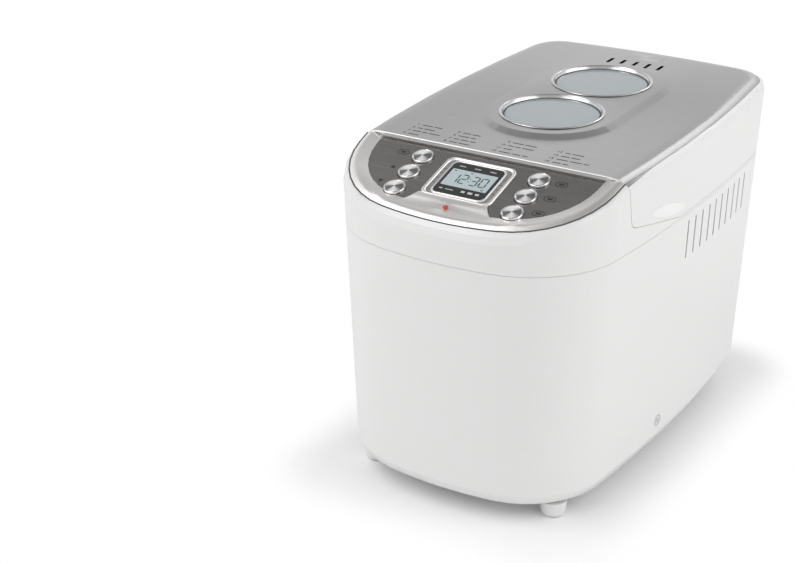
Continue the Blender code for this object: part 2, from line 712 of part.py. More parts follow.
# ---- Lid -----------------------------------------------------------------------------------------
def lid_shell():
    low = SKIRT_Z - 0.004
    under = PLATE_THICKNESS + GAP
    rings = [
        ring(0.0, low),
        ring(0.0, lambda y: lid_rim(y) - SHOULDER),
        top_ring(0.29 * SHOULDER, lambda y: lid_rim(y) - 0.29 * SHOULDER),
        top_ring(SHOULDER, lid_rim),
    ]
    for inset, rise in CROWN:
        rings.append(top_ring(SHOULDER + inset, lambda y, rise=rise: lid_rim(y) + rise - under))
    shell = loft(rings, "lid_shell", WHITE)
    room = across(lid_profile(0.0, 0.0, HINGE_SWEEP_RISE), "lid_outline_cutter")
    cavity = loft(
        [
            ring(WALL, low - 0.02),
            ring(WALL, lambda y: lid_surface(y) - WEB_EDGE_DEPTH),
            ring(SHOULDER + WEB_EDGE, lambda y: lid_surface(y) - WEB_DEPTH),
        ],
        "lid_cavity_cutter", None,
    )
    high = SEAM_Z + 0.1
    inside = [
        (front_line(0.1, WALL), 0.1), (REAR_Y + 0.05, 0.1), (REAR_Y + 0.05, high),
        (front_line(high, WALL), high),
    ]
    collar = loft(
        [
            window_stadium(WINDOW_OPENING + COLLAR, -LINER_DEPTH + GAP),
            window_stadium(WINDOW_OPENING + COLLAR, 0.01),
        ],
        "window_collar_cutter", None, LID_FRAME,
    )
    boolean(cavity, "INTERSECT", across(inside, "lid_inside_cutter"))
    boolean(cavity, "DIFFERENCE", collar)
    opening = loft(
        [window_stadium(WINDOW_OPENING, -0.03), window_stadium(WINDOW_OPENING, 0.02)],
        "window_opening_cutter", None, LID_FRAME,
    )
    half_row = LID_VENT_PITCH * LID_VENT_COUNT / 2
    ahead, behind = LID_VENT_Y - LID_VENT_SIZE[1] * 0.4, LID_VENT_Y + LID_VENT_SIZE[1] * 0.6
    vents = boxes(
        [((-half_row, ahead, -0.03), (half_row, behind, 0.02))], "shell_vent_cutter", None, LID_FRAME
    )
    boolean(shell, "INTERSECT", room)
    boolean(shell, "DIFFERENCE", cavity, opening, vents, hinge_notches(), finger_grips())
    knuckles = bars(
        [(side * HINGE_X - KNUCKLE_HALF, side * HINGE_X + KNUCKLE_HALF) for side in (-1, 1)],
        KNUCKLE_RADIUS, HINGE_Y, HINGE_Z, "lid_knuckles",
    )
    boolean(shell, "UNION", knuckles)
    boolean(shell, "DIFFERENCE", hinge_bore("lid_bore_cutter"))


def window_stadium(half, height):
    return stadium_ring(half, height, CHAMBER_Y - SEAM_Y)


def finger_grips():
    """Shallow scoops at both ends of the lid's lower edge, each the tip of an ellipsoid."""
    bm = bmesh.new()
    z = SEAM_Z - SCOOP_DROP
    for side in (-1, 1):
        made = bmesh.ops.create_uvsphere(bm, u_segments=24, v_segments=12, radius=1.0)["verts"]
        bmesh.ops.scale(bm, vec=SCOOP_HALF, verts=made)
        bmesh.ops.rotate(bm, cent=(0, 0, 0), matrix=Matrix.Rotation(-SCOOP_LEAN, 3, "X"), verts=made)
        place = (side * taper_x(HALF_WIDTH - WALL * 0.1, z), SEAM_Y + SCOOP_FROM_SEAM, z)
        bmesh.ops.translate(bm, vec=place, verts=made)
    return add(bm, "finger_grip_cutter", None)


def hinge_notches():
    """Room in the lid's rear wall for the fixed lugs."""
    spans = [tuple(sorted(span)) for span in hinge_spans(LUG_INNER - 0.0004, LUG_OUTER + 0.0007)]
    room = KNUCKLE_RADIUS + LID_GAP
    front, top = HINGE_Y - room, HINGE_Z + room
    return boxes(
        [((low, front, DECK_TOP - 0.01), (high, REAR_Y + 0.02, top)) for low, high in spans],
        "hinge_notch_cutter",
    )


def sheet_rings(surface, edge):
    """Top and underside of a steel sheet whose edge rolls down, as rings for a loft."""
    insets = [(SHOULDER + GAP + inset, rise) for inset, rise in edge]
    top = [top_ring(inset, lambda y, rise=rise: surface(y) + rise) for inset, rise in insets]
    under = [[(x, y, z - PLATE_THICKNESS) for x, y, z in row] for row in top]
    return under[::-1] + top


def lid_plate():
    plate = loft(sheet_rings(lid_rim, CROWN), "lid_plate", STEEL)
    island = loft(
        [window_stadium(ISLAND_FOOT, -PLATE_THICKNESS / 2), window_stadium(ISLAND_TOP, ISLAND_HEIGHT)],
        "island_shape", None, LID_FRAME,
    )
    hollow = loft(
        [
            window_stadium(ISLAND_FOOT + 0.001, -2.2 * PLATE_THICKNESS),
            window_stadium(ISLAND_TOP - PLATE_THICKNESS, ISLAND_HEIGHT - PLATE_THICKNESS),
        ],
        "island_hollow_cutter", None, LID_FRAME,
    )
    hole = RING_RADIUS - 0.002
    holes = rods(WINDOW_PLACES, hole, -0.01, 0.02, "window_hole_cutter", None, LID_FRAME, 32)
    slots = []
    for i in range(LID_VENT_COUNT):
        x = (i - (LID_VENT_COUNT - 1) / 2) * LID_VENT_PITCH
        half = [size / 2 for size in LID_VENT_SIZE]
        low = (x - half[0], LID_VENT_Y - half[1], -0.01)
        slots.append((low, (x + half[0], LID_VENT_Y + half[1], 0.01)))
    room = across(lid_profile(0.0, 0.0), "plate_outline_cutter")
    boolean(plate, "UNION", island)
    boolean(plate, "DIFFERENCE", hollow, holes, boxes(slots, "lid_vent_cutter", None, LID_FRAME))
    boolean(plate, "INTERSECT", room)


def windows():
    """Glass that steps up into its ring, and the ring's rim over the edge of the steel."""
    radius, inner = RING_RADIUS, RING_RADIUS - RING_WIDTH
    lip = ISLAND_HEIGHT + GAP
    ring_profile = (
        (radius - RING_NECK, lip + RING_RISE), (radius - 0.0004, lip + 0.5 * RING_RISE), (radius, lip),
        (radius - RING_NECK, lip), (radius - RING_NECK, RING_UNDER), (inner, RING_UNDER),
        (inner, ISLAND_HEIGHT - RING_RISE), (radius - 0.75 * RING_WIDTH, lip + 0.5 * RING_RISE),
    )
    edge = RING_UNDER - GAP
    boss = ISLAND_HEIGHT - 2 * RING_RISE
    pane_profile = (
        (0.0, boss), (inner - 0.0008, boss), (inner - GAP, boss - 0.0003), (inner - GAP, edge),
        (inner + PANE_LIP, edge), (inner + PANE_LIP, edge - PANE_THICKNESS), (0.0, edge - PANE_THICKNESS),
    )
    for place, name in zip(WINDOW_PLACES, ("front", "rear")):
        turned(ring_profile, f"window_ring_{name}", CHROME, LID_FRAME, 32, True).location = (*place, 0)
        turned(pane_profile, f"window_pane_{name}", GLASS, LID_FRAME, 32).location = (*place, 0)
        low = -LINER_DEPTH + GAP
        high = low + PANE_THICKNESS
        rods([place], RING_RADIUS - 0.003, low, high, f"inner_pane_{name}", GLASS, LID_FRAME, 32)


def lid_liner():
    """Inverted tray: flat top under the windows, walls down to a flange that holds the seal."""
    sheet = LINER_THICKNESS
    half_x, half_y = LINER_HALF
    low = DECK_TOP + GAP + SEAL_HEIGHT + GAP

    def top(y):
        return lid_surface(y) - LINER_DEPTH

    def under(y):
        return top(y) - sheet

    radius = CHAMBER_CORNER + LINER_MARGIN[1]
    wall_x, wall_y = half_x + sheet, half_y + sheet
    flange_x, flange_y = wall_x + LINER_FLANGE[0], wall_y + LINER_FLANGE[1]
    cut = LINER_CHAMFER
    rows = [
        (wall_x - cut, wall_y - cut, radius - cut, top),
        (wall_x, wall_y, radius, lambda y: top(y) - cut),
        (wall_x, wall_y, radius, low + sheet),
        (flange_x, flange_y, radius + LINER_FLANGE[1], low + sheet),
        (flange_x, flange_y, radius + LINER_FLANGE[1], low),
        (half_x, half_y, radius, low),
        (half_x, half_y, radius, lambda y: under(y) - cut),
        (half_x - cut, half_y - cut, radius - cut, under),
    ]
    liner = loft([rect_ring(a, b, r, z, CHAMBER_Y) for a, b, r, z in rows], "lid_liner", SHEET)
    hole = RING_RADIUS - RING_WIDTH - 0.002
    holes = rods(WINDOW_PLACES, hole, -0.03, 0.0, "liner_window_cutter", None, LID_FRAME, 32)
    slots = []
    for i in range(LID_VENT_COUNT):
        x = (i - (LID_VENT_COUNT - 1) / 2) * LID_VENT_PITCH
        half = LID_VENT_SIZE[0] / 2
        slots.append(((x - half, LID_VENT_Y - 0.0122, -0.03), (x + half, LID_VENT_Y - 0.0022, 0.0)))
    boolean(liner, "DIFFERENCE", holes, boxes(slots, "liner_vent_cutter", None, LID_FRAME))


def lid_seal():
    inner = [size + 0.0005 for size in LINER_HALF]
    outer = [size + SEAL_WIDTH for size in inner]
    radius = CHAMBER_CORNER + LINER_MARGIN[1] + 0.0005
    low, high = DECK_TOP + GAP, DECK_TOP + GAP + SEAL_HEIGHT
    rings = [
        rect_ring(*outer, radius + SEAL_WIDTH, low, CHAMBER_Y),
        rect_ring(*outer, radius + SEAL_WIDTH, high, CHAMBER_Y),
        rect_ring(*inner, radius, high, CHAMBER_Y), rect_ring(*inner, radius, low, CHAMBER_Y),
    ]
    loft(rings, "lid_seal", SILICONE, capped=False)


# ---- Control panel -------------------------------------------------------------------------------
BUTTONS = (
    ("menu", -1, 0), ("time_up", -1, 1), ("time_down", -1, 2),
    ("browning", 1, 0), ("loaf_size", 1, 1), ("start_stop", 1, 2),
)


def button_place(side, row):
    return side * BUTTON_X, -(BUTTON_FIRST + row * BUTTON_PITCH)


def control_panel():
    panel = loft(sheet_rings(panel_surface, PANEL_ROLL), "control_panel", DARK_STEEL)
    places = [button_place(side, row) for _, side, row in BUTTONS]
    holes = rods(places, BUTTON_RADIUS + GAP, -0.02, 0.02, "button_hole_cutter", None, PANEL_FRAME, 20)
    half_x, half_y = (size + border + GAP for size, border in zip(DISPLAY_HALF, FRAME_BORDER))
    shape = [(x, y - DISPLAY_CENTRE) for x, y in rect_outline(half_x, half_y, 0.006, 3)]
    display = flat(shape, -0.02, 0.02, "display_hole_cutter", None, PANEL_FRAME)
    lamp_place = (0, -LED_FROM_SEAM)
    lamp = rods([lamp_place], LED_RADIUS + GAP, -0.02, 0.02, "lamp_hole_cutter", None, PANEL_FRAME, 12)
    high = SEAM_Z + 0.1
    ahead = [
        (front_line(0.1, -LID_GAP), 0.1), (front_line(high, -LID_GAP), high), (FRONT_Y - 0.05, high),
        (FRONT_Y - 0.05, 0.1),
    ]
    boolean(panel, "INTERSECT", across(ahead, "panel_side_cutter"))
    boolean(panel, "DIFFERENCE", holes, display, lamp)


def display():
    half_x, half_y = DISPLAY_HALF
    out_x, out_y = half_x + FRAME_BORDER[0], half_y + FRAME_BORDER[1]
    rows = [
        (out_x, out_y, 0.006, -0.0035), (out_x, out_y, 0.006, 0.0012),
        (out_x - 0.001, out_y - 0.001, 0.005, 0.0018),
        (out_x - 0.0025, out_y - 0.0025, 0.004, 0.0018), (out_x - 0.0032, out_y - 0.0032, 0.003, 0.0006),
        (half_x + GAP, half_y + GAP, 0.001, 0.0006), (half_x + GAP, half_y + GAP, 0.001, -0.0035),
    ]
    rings = [rect_ring(a, b, r, z, -DISPLAY_CENTRE, 3) for a, b, r, z in rows]
    loft(rings, "display_frame", STEEL, PANEL_FRAME, False)
    centre = -DISPLAY_CENTRE
    lens = ((-half_x, centre - half_y, -0.0010), (half_x, centre + half_y, 0.0008))
    boxes([lens], "display_lens", BLACK, PANEL_FRAME)
    half_x, half_y = half_x - 0.001, half_y - 0.004
    module = ((-half_x, centre - half_y, -LCD_DEPTH), (half_x, centre + half_y, -0.0010 - GAP))
    boxes([module], "lcd_module", LCD, PANEL_FRAME)


def buttons():
    top, skirt = BUTTON_RISE, -BUTTON_DEPTH
    flange = BUTTON_RADIUS + BUTTON_FLANGE
    stem = -BOARD_DEPTH + BUTTON_TRAVEL + 2 * GAP
    profile = (
        (0.0, top), (BUTTON_RADIUS * 0.62, top - 0.0004), (BUTTON_RADIUS * 0.9, top - 0.0011),
        (BUTTON_RADIUS, top - 0.0019), (BUTTON_RADIUS, -PLATE_THICKNESS - 0.0006),
        (flange, -PLATE_THICKNESS - 0.0006), (flange, skirt), (0.002, skirt), (0.002, stem), (0.0, stem),
    )
    for name, side, row in BUTTONS:
        turned(profile, f"button_{name}", CHROME, PANEL_FRAME).location = (*button_place(side, row), 0)


def control_board():
    thickness = 0.0016
    top = -BOARD_DEPTH
    low = (-BOARD_HALF_WIDTH, -LED_FROM_SEAM - 0.0045, top - thickness)
    boxes([(low, (BOARD_HALF_WIDTH, -0.010, top))], "control_board", BOARD, PANEL_FRAME)
    under = top - thickness - GAP
    can = ((0.0, under), (0.006, under), (0.006, top - 0.009), (0.0, top - 0.009))
    turned(can, "buzzer", BLACK, PANEL_FRAME, 16).location = (0.040, -0.050, 0)
    lamp = (
        (0.0, 0.0010), (LED_RADIUS * 0.8, 0.0007), (LED_RADIUS, 0.0), (LED_RADIUS, top + GAP),
        (0.0, top + GAP),
    )
    turned(lamp, "status_lamp", RED, PANEL_FRAME, 12).location = (0, -LED_FROM_SEAM, 0)


# ---- Baking chamber ------------------------------------------------------------------------------
def drive_places():
    return [(0.0, y) for y in PADDLE_YS]


def baking_chamber():
    half_x, half_y = CHAMBER_HALF
    sheet, flange = CHAMBER_SHEET, CHAMBER_FLANGE
    low, high = CHAMBER_FLOOR_Z, DECK_TOP + GAP
    radius, fillet = CHAMBER_CORNER, CHAMBER_FILLET
    rows = [
        (half_x + sheet - fillet, half_y + sheet - fillet, radius + sheet - fillet, low),
        (half_x + sheet, half_y + sheet, radius + sheet, low + fillet),
        (half_x + sheet, half_y + sheet, radius + sheet, high),
        (half_x + flange, half_y + flange, radius + flange, high),
        (half_x + flange, half_y + flange, radius + flange, high + sheet),
        (half_x, half_y, radius, high + sheet),
        (half_x, half_y, radius, low + fillet),
        (half_x + sheet - fillet, half_y + sheet - fillet, radius + sheet - fillet, low + sheet),
    ]
    chamber = loft([rect_ring(a, b, r, z, CHAMBER_Y) for a, b, r, z in rows], "baking_chamber", SHEET)
    shafts = rods(drive_places(), BUSH_RADIUS + GAP, low - 0.01, low + 0.01, "chamber_shaft_cutter")
    reach = HEATER_RADIUS + GAP
    ends = boxes(
        [
            ((side * HEATER_END_X - reach, CHAMBER_FRONT - 0.01, HEATER_Z - reach),
             (side * HEATER_END_X + reach, CHAMBER_FRONT + 0.003, HEATER_Z + reach))
            for side in (-1, 1)
        ],
        "heater_hole_cutter",
    )
    wall = (-half_x - 0.01, -half_x + 0.01)
    probe = bars([wall], PROBE_RADIUS + GAP, CHAMBER_Y, PROBE_Z, "probe_hole_cutter")
    boolean(chamber, "DIFFERENCE", shafts, ends, probe)


def heating_element():
    """Tube round the foot of the pan; both ends leave through the chamber's front wall."""
    half_x = CHAMBER_HALF[0] - HEATER_FROM_WALL
    near, far = CHAMBER_FRONT + HEATER_FROM_WALL, CHAMBER_REAR - HEATER_FROM_WALL
    bend = HEATER_CORNER
    quarter = math.pi / 2
    route = [
        (HEATER_END_X, CHAMBER_FRONT - HEATER_TAIL), (HEATER_END_X, near - HEATER_RADIUS),
        (HEATER_END_X + HEATER_RADIUS, near),
    ]
    route += arc((half_x - bend, near + bend), bend, -quarter, 0, 4)
    route += arc((half_x - bend, far - bend), bend, 0, quarter, 4)
    points = [(x, y, HEATER_Z) for x, y in route]
    points += [(-x, y, HEATER_Z) for x, y in reversed(route)]
    tube(points, HEATER_RADIUS, "heating_element", ALLOY)


def heater_clips():
    floor = CHAMBER_FLOOR_Z + CHAMBER_SHEET + GAP
    x = CHAMBER_HALF[0] - HEATER_FROM_WALL
    top = HEATER_Z - HEATER_RADIUS - GAP
    for side, name in ((-1, "left"), (1, "right")):
        low = (side * x - 0.0035, CHAMBER_Y - 0.006, floor)
        high = (side * x + 0.0035, CHAMBER_Y + 0.006, top)
        bevelled(boxes([(low, high)], f"heater_clip_{name}", SHEET), 0.0006)


def temperature_sensor():
    wall = CHAMBER_HALF[0] + CHAMBER_SHEET
    profile = (
        (0.0, PROBE_REACH), (PROBE_RADIUS * 0.7, PROBE_REACH), (PROBE_RADIUS, PROBE_REACH - 0.0015),
        (PROBE_RADIUS, -GAP), (PROBE_FLANGE, -GAP), (PROBE_FLANGE, -0.0030), (0.0, -0.0030),
    )
    probe = turned(profile, "temperature_sensor", SHEET, steps=16)
    probe.rotation_euler = (0, math.pi / 2, 0)
    probe.location = (-wall, CHAMBER_Y, PROBE_Z)


def pan_clips():
    floor = CHAMBER_FLOOR_Z + CHAMBER_SHEET + GAP
    x = PAN_BASE_HALF + GAP
    size, sheet = CLIP_SIZE, CHAMBER_SHEET
    profile = (
        (x, floor), (x + size, floor), (x + size, floor + sheet), (x + sheet, floor + sheet),
        (x + sheet, floor + size), (x, floor + size),
    )
    for side, name in ((-1, "left"), (1, "right")):
        shape = [(side * a, CHAMBER_Y - CLIP_LENGTH / 2, z) for a, z in profile]
        prism(shape, (0, CLIP_LENGTH, 0), f"pan_clip_{name}", SHEET)


# ---- Bread pan -----------------------------------------------------------------------------------
def bread_pan():
    half_x, half_y = PAN_HALF
    sheet, rim, radius = PAN_SHEET, PAN_RIM, PAN_CORNER
    low, high, fillet = PAN_FLOOR_Z, PAN_RIM_Z, PAN_FILLET
    foot_x, foot_y = half_x - PAN_TAPER, half_y - PAN_TAPER
    rows = [
        (foot_x - fillet, foot_y - fillet, radius - fillet, low),
        (foot_x, foot_y, radius, low + fillet),
        (half_x, half_y, radius, high - sheet),
        (half_x + rim, half_y + rim, radius + rim, high - sheet),
        (half_x + rim, half_y + rim, radius + rim, high),
        (half_x - sheet, half_y - sheet, radius - sheet, high),
        (foot_x - sheet, foot_y - sheet, radius - sheet, low + fillet),
        (foot_x - fillet, foot_y - fillet, radius - fillet, low + sheet),
    ]
    pan = loft([rect_ring(a, b, r, z, CHAMBER_Y) for a, b, r, z in rows], "bread_pan", COATING)
    base_z = CHAMBER_FLOOR_Z + CHAMBER_SHEET + 2 * GAP
    base = [stadium_ring(half, z, CHAMBER_Y) for half, z in (
        (PAN_BASE_HALF, base_z), (PAN_BASE_HALF, low + sheet / 2),
        (PAN_BASE_HALF - sheet, low + sheet / 2), (PAN_BASE_HALF - sheet, base_z),
    )]
    ring_base = loft(base, "pan_base_ring", None, capped=False)
    ears = []
    for side in (-1, 1):
        ends = sorted((CHAMBER_Y + side * half_y, CHAMBER_Y + side * (half_y + EAR_THICKNESS)))
        ears.append(((-EAR_HALF, ends[0], high - sheet / 2), (EAR_HALF, ends[1], HANDLE_PIVOT_Z + 0.005)))
    ear_blocks = bevelled(boxes(ears, "pan_ears"), 0.0006)
    pivot = rods([(0, 0)], HANDLE_RADIUS + GAP, -0.2, 0.2, "handle_hole_cutter", segments=16)
    pivot.rotation_euler = (math.pi / 2, 0, 0)
    pivot.location = (0, CHAMBER_Y, HANDLE_PIVOT_Z)
    boolean(pan, "UNION", ring_base, ear_blocks)
    holes = rods(drive_places(), SHAFT_RADIUS + GAP, low - 0.004, low + 0.01, "pan_shaft_cutter")
    boolean(pan, "DIFFERENCE", holes, pivot)


def pan_handle():
    """Wire bail: its ends turn into the ears and it lies flat above the pan, towards the right."""
    near = PAN_HALF[1] - HANDLE_RADIUS / 2
    out = PAN_HALF[1] + max(EAR_THICKNESS, PAN_RIM) + HANDLE_RADIUS + 3 * GAP
    reach = PAN_HALF[0] - HANDLE_SHORT
    bend = HANDLE_BEND
    half = [(0.0, near), (0.0, out - 0.002), (0.002, out)]
    half += reversed(arc((reach - bend, out - bend), bend, 0, math.pi / 2, 4))
    points = [(x, CHAMBER_Y + y, HANDLE_PIVOT_Z) for x, y in half]
    points += [(x, CHAMBER_Y - y, HANDLE_PIVOT_Z) for x, y in reversed(half)]
    tube(points, HANDLE_RADIUS, "pan_handle", SHEET)


def pan_shafts():
    low = DOG_DISC_Z + DOG_DISC + 2 * GAP
    top = PADDLE_SEAT_Z + PADDLE_HEIGHT - 0.0015 - GAP
    profile = ((0.0, top), (SHAFT_RADIUS, top - 0.001), (SHAFT_RADIUS, low), (0.0, low))
    for (x, y), name in zip(drive_places(), ("front", "rear")):
        shaft = turned(profile, f"pan_shaft_{name}", SHEET)
        shaft.location = (x, y, 0)
        half_x, half_y = BAR_THICKNESS / 2, DOG_RADIUS - 0.0005
        bar = ((x - half_x, y - half_y, low), (x + half_x, y + half_y, low + DOG_HEIGHT))
        boolean(shaft, "UNION", boxes([bar], f"driven_bar_{name}"))


def kneading_paddles():
    """Hub with a blind bore for the shaft and one blade; the two blades point apart."""
    low, top = PADDLE_SEAT_Z, PADDLE_SEAT_Z + PADDLE_HEIGHT
    profile = (
        (0.0, top), (PADDLE_HUB * 0.72, top), (PADDLE_HUB, low + 0.004), (PADDLE_HUB, low), (0.0, low)
    )
    reach = PADDLE_REACH
    outline = (
        (0.0, low + 0.0005), (reach * 0.86, low + 0.0005), (reach, low + 0.006),
        (reach * 0.83, low + 0.016), (reach * 0.33, top + 0.0065), (0.0, top - 0.0015),
    )
    for side, (x, y), name in zip((1, -1), drive_places(), ("front", "rear")):
        hub = turned(profile, f"kneading_paddle_{name}", COATING)
        hub.location = (x, y, 0)
        shape = [(x + side * a, y - PADDLE_BLADE / 2, z) for a, z in outline]
        blade = prism(shape, (0, PADDLE_BLADE, 0), f"blade_{name}")
        boolean(hub, "UNION", bevelled(blade, 0.0008))
        bore = rods([(x, y)], SHAFT_RADIUS + GAP, low - 0.01, top - 0.0015, f"paddle_bore_{name}")
        boolean(hub, "DIFFERENCE", bore)


# ---- Drive ---------------------------------------------------------------------------------------
def legged_plate(name, spans, legs, holes, hole_radius, top):
    """Plate on round legs that stand on the base plate."""
    (low_x, low_y), (high_x, high_y) = spans
    bottom = top - CHASSIS_THICKNESS
    plate = boxes([((low_x, low_y, bottom), (high_x, high_y, top))], name, ALLOY)
    middle = bottom + CHASSIS_THICKNESS / 2
    posts = rods(legs, LEG_RADIUS, SUPPORT_Z, middle, f"{name}_legs", segments=12)
    boolean(plate, "UNION", posts)
    boolean(plate, "DIFFERENCE", rods(holes, hole_radius, bottom - 0.01, top + 0.01, f"{name}_hole_cutter"))


def drive_chassis():
    reach = CHASSIS_HALF_WIDTH
    front, rear = PADDLE_YS[0] - CHASSIS_AHEAD, PADDLE_YS[1] + CHASSIS_BEHIND
    leg_x = reach - LEG_RADIUS - 0.001
    legs = [(side * leg_x, y) for side in (-1, 1) for y in (front + 0.006, rear - 0.006)]
    top = CHASSIS_Z + CHASSIS_THICKNESS
    spans = ((-reach, front), (reach, rear))
    legged_plate("drive_chassis", spans, legs, drive_places(), BUSH_NECK + GAP, top)


def shaft_bushes():
    plate_top = CHASSIS_Z + CHASSIS_THICKNESS
    high = CHAMBER_FLOOR_Z + CHAMBER_SHEET + GAP
    bore = SHAFT_RADIUS + GAP
    profile = (
        (bore, high), (BUSH_RADIUS, high), (BUSH_RADIUS, plate_top + GAP), (BUSH_NECK, plate_top + GAP),
        (BUSH_NECK, CHASSIS_Z - 0.002), (bore, CHASSIS_Z - 0.002),
    )
    for (x, y), name in zip(drive_places(), ("front", "rear")):
        turned(profile, f"shaft_bush_{name}", BRONZE, closed=True).location = (x, y, 0)


def drive_shafts():
    low = BASE_TOP + 0.003
    top = DOG_DISC_Z + DOG_DISC
    middle = DOG_DISC_Z + DOG_DISC / 2
    profile = (
        (0.0, top), (DOG_RADIUS, top), (DOG_RADIUS, DOG_DISC_Z), (SHAFT_RADIUS, DOG_DISC_Z),
        (SHAFT_RADIUS, low), (0.0, low),
    )
    for (x, y), name in zip(drive_places(), ("front", "rear")):
        shaft = turned(profile, f"drive_shaft_{name}", SHEET)
        shaft.location = (x, y, 0)
        places = [(x - DOG_FROM_AXIS, y), (x + DOG_FROM_AXIS, y)]
        posts = rods(places, DOG_PIN, middle, top + DOG_HEIGHT, f"dog_posts_{name}", segments=12)
        boolean(shaft, "UNION", posts)


def pulleys():
    bore = SHAFT_RADIUS + GAP
    big, link = BIG_PULLEY_RADIUS, LINK_PULLEY_RADIUS
    (b0, b1), (l0, l1) = DRIVE_BELT_Z, LINK_BELT_Z
    lip = PULLEY_LIP
    link_flange = link + BELT_THICKNESS + 0.0005
    link_part = [
        (bore, l1 + lip + GAP), (link_flange, l1 + lip + GAP), (link_flange, l1 + GAP), (link, l1 + GAP),
        (link, l0 - GAP), (link_flange, l0 - GAP), (link_flange, l0 - lip - GAP),
    ]
    big_flange, neck = big + FLANGE_DEPTH, link - 0.004
    big_part = [
        (neck, l0 - lip - GAP), (neck, b1 + lip + GAP), (big_flange, b1 + lip + GAP),
        (big_flange, b1 + GAP), (big, b1 + GAP), (big, b0 - GAP), (big_flange, b0 - GAP),
        (big_flange, b0 - lip - GAP), (bore, b0 - lip - GAP),
    ]
    front = turned(link_part + big_part, "pulley_front", BLACK, steps=24, closed=True)
    front.location = (0, PADDLE_YS[0], 0)
    rear = turned(link_part + [(bore, l0 - lip - GAP)], "pulley_rear", BLACK, closed=True)
    rear.location = (0, PADDLE_YS[1], 0)


def belt_path(near_y, near_radius, far_y, far_radius, steps=16):
    """Outline of a taut belt round two pulleys that stand on the Y axis."""
    lean = math.asin((far_radius - near_radius) / (far_y - near_y))
    near = arc((0, near_y), near_radius, math.pi + lean, 2 * math.pi - lean, steps)
    far = arc((0, far_y), far_radius, -lean, math.pi + lean, steps)
    return near + far


def belt(name, near_y, near_radius, far_y, far_radius, span):
    rows = []
    for grow, z in ((BELT_THICKNESS, span[0]), (BELT_THICKNESS, span[1]), (GAP, span[1]), (GAP, span[0])):
        path = belt_path(near_y, near_radius + grow, far_y, far_radius + grow)
        rows.append([(x, y, z) for x, y in path])
    loft(rows, name, RUBBER, capped=False)


def motor():
    plate_top = MOTOR_PLATE_TOP
    low = plate_top + GAP
    high = low + MOTOR_HEIGHT
    radius, bore = MOTOR_RADIUS, MOTOR_SHAFT + GAP
    profile = (
        (0.0, high), (radius * 0.35, high), (radius * 0.4, high - 0.004), (radius * 0.9, high - 0.008),
        (radius, high - 0.014), (radius, low + 0.008), (radius * 0.9, low), (bore, low), (bore, low + 0.02),
        (0.0, low + 0.02),
    )
    turned(profile, "motor", ALLOY, steps=24).location = (0, MOTOR_Y, 0)
    reach = MOTOR_RADIUS + 0.002
    spans = ((-reach, MOTOR_Y - reach), (reach, MOTOR_Y + reach))
    legs = [(sx * (reach - 0.006), MOTOR_Y + sy * (reach - 0.006)) for sx in (-1, 1) for sy in (-1, 1)]
    legged_plate("motor_bracket", spans, legs, [(0, MOTOR_Y)], SMALL_PULLEY_RADIUS - 0.001, plate_top)


def motor_pulley():
    b0, b1 = DRIVE_BELT_Z
    small, lip = SMALL_PULLEY_RADIUS, PULLEY_LIP
    flange = small + BELT_THICKNESS + 0.0008
    shaft_top = MOTOR_PLATE_TOP + MOTOR_SHAFT_RISE
    profile = (
        (0.0, shaft_top), (MOTOR_SHAFT, shaft_top), (MOTOR_SHAFT, b1 + lip + GAP),
        (flange, b1 + lip + GAP), (flange, b1 + GAP), (small, b1 + GAP), (small, b0 - GAP),
        (flange, b0 - GAP), (flange, b0 - lip - GAP), (0.0, b0 - lip - GAP),
    )
    turned(profile, "motor_pulley", SHEET).location = (0, MOTOR_Y, 0)


def electrics():
    radius, high = CAPACITOR
    profile = (
        (0.0, SUPPORT_Z + high), (radius - 0.0015, SUPPORT_Z + high), (radius, SUPPORT_Z + high - 0.0015),
        (radius, SUPPORT_Z), (0.0, SUPPORT_Z),
    )
    can = turned(profile, "run_capacitor", SHEET, steps=16)
    can.location = (-CAPACITOR_FROM_MOTOR[0], MOTOR_Y + CAPACITOR_FROM_MOTOR[1], 0)
    x = CHAMBER_HALF[0] + POWER_BOARD_FROM_CHAMBER
    low = CHAMBER_Y - 0.060
    thickness, depth, height = POWER_BOARD_SIZE
    sheet = ((x, low, SUPPORT_Z), (x + thickness, low + depth, SUPPORT_Z + height))
    board = boxes([sheet], "power_board", BOARD)
    inside = x + thickness / 2
    parts = boxes(
        [
            ((x - 0.014, low + 0.010, SUPPORT_Z + 0.020), (inside, low + 0.036, SUPPORT_Z + 0.050)),
            ((x - 0.010, low + 0.050, SUPPORT_Z + 0.030), (inside, low + 0.065, SUPPORT_Z + 0.046)),
        ],
        "board_parts",
    )
    boolean(board, "UNION", parts)


def main():
    lower_housing()
    cord_gland()
    upper_housing()
    hinge_pins()
    feet()
    base_plate()
    lid_shell()
    lid_plate()
    windows()
    lid_liner()
    lid_seal()
    control_panel()
    display()
    buttons()
    control_board()
    baking_chamber()
    heating_element()
    heater_clips()
    temperature_sensor()
    pan_clips()
    bread_pan()
    pan_handle()
    pan_shafts()
    kneading_paddles()
    drive_chassis()
    shaft_bushes()
    drive_shafts()
    pulleys()
    belt("drive_belt", MOTOR_Y, SMALL_PULLEY_RADIUS, PADDLE_YS[0], BIG_PULLEY_RADIUS, DRIVE_BELT_Z)
    belt("link_belt", PADDLE_YS[0], LINK_PULLEY_RADIUS, PADDLE_YS[1], LINK_PULLEY_RADIUS, LINK_BELT_Z)
    motor()
    motor_pulley()
    electrics()


main()
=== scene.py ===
# %% [markdown]
# # A two-paddle bread machine
#
# The functional model of the machine is loaded first and stays as it is. This lesson gives its
# pieces their finish: moulded white plastic, brushed and polished steel, glass, rubber. Where the
# loaded mesh is too coarse to shine, a finer piece is made beside it and replaces it.

# %% Load the frame
import json
import math

import bmesh
import bpy
from mathutils import Matrix, Vector

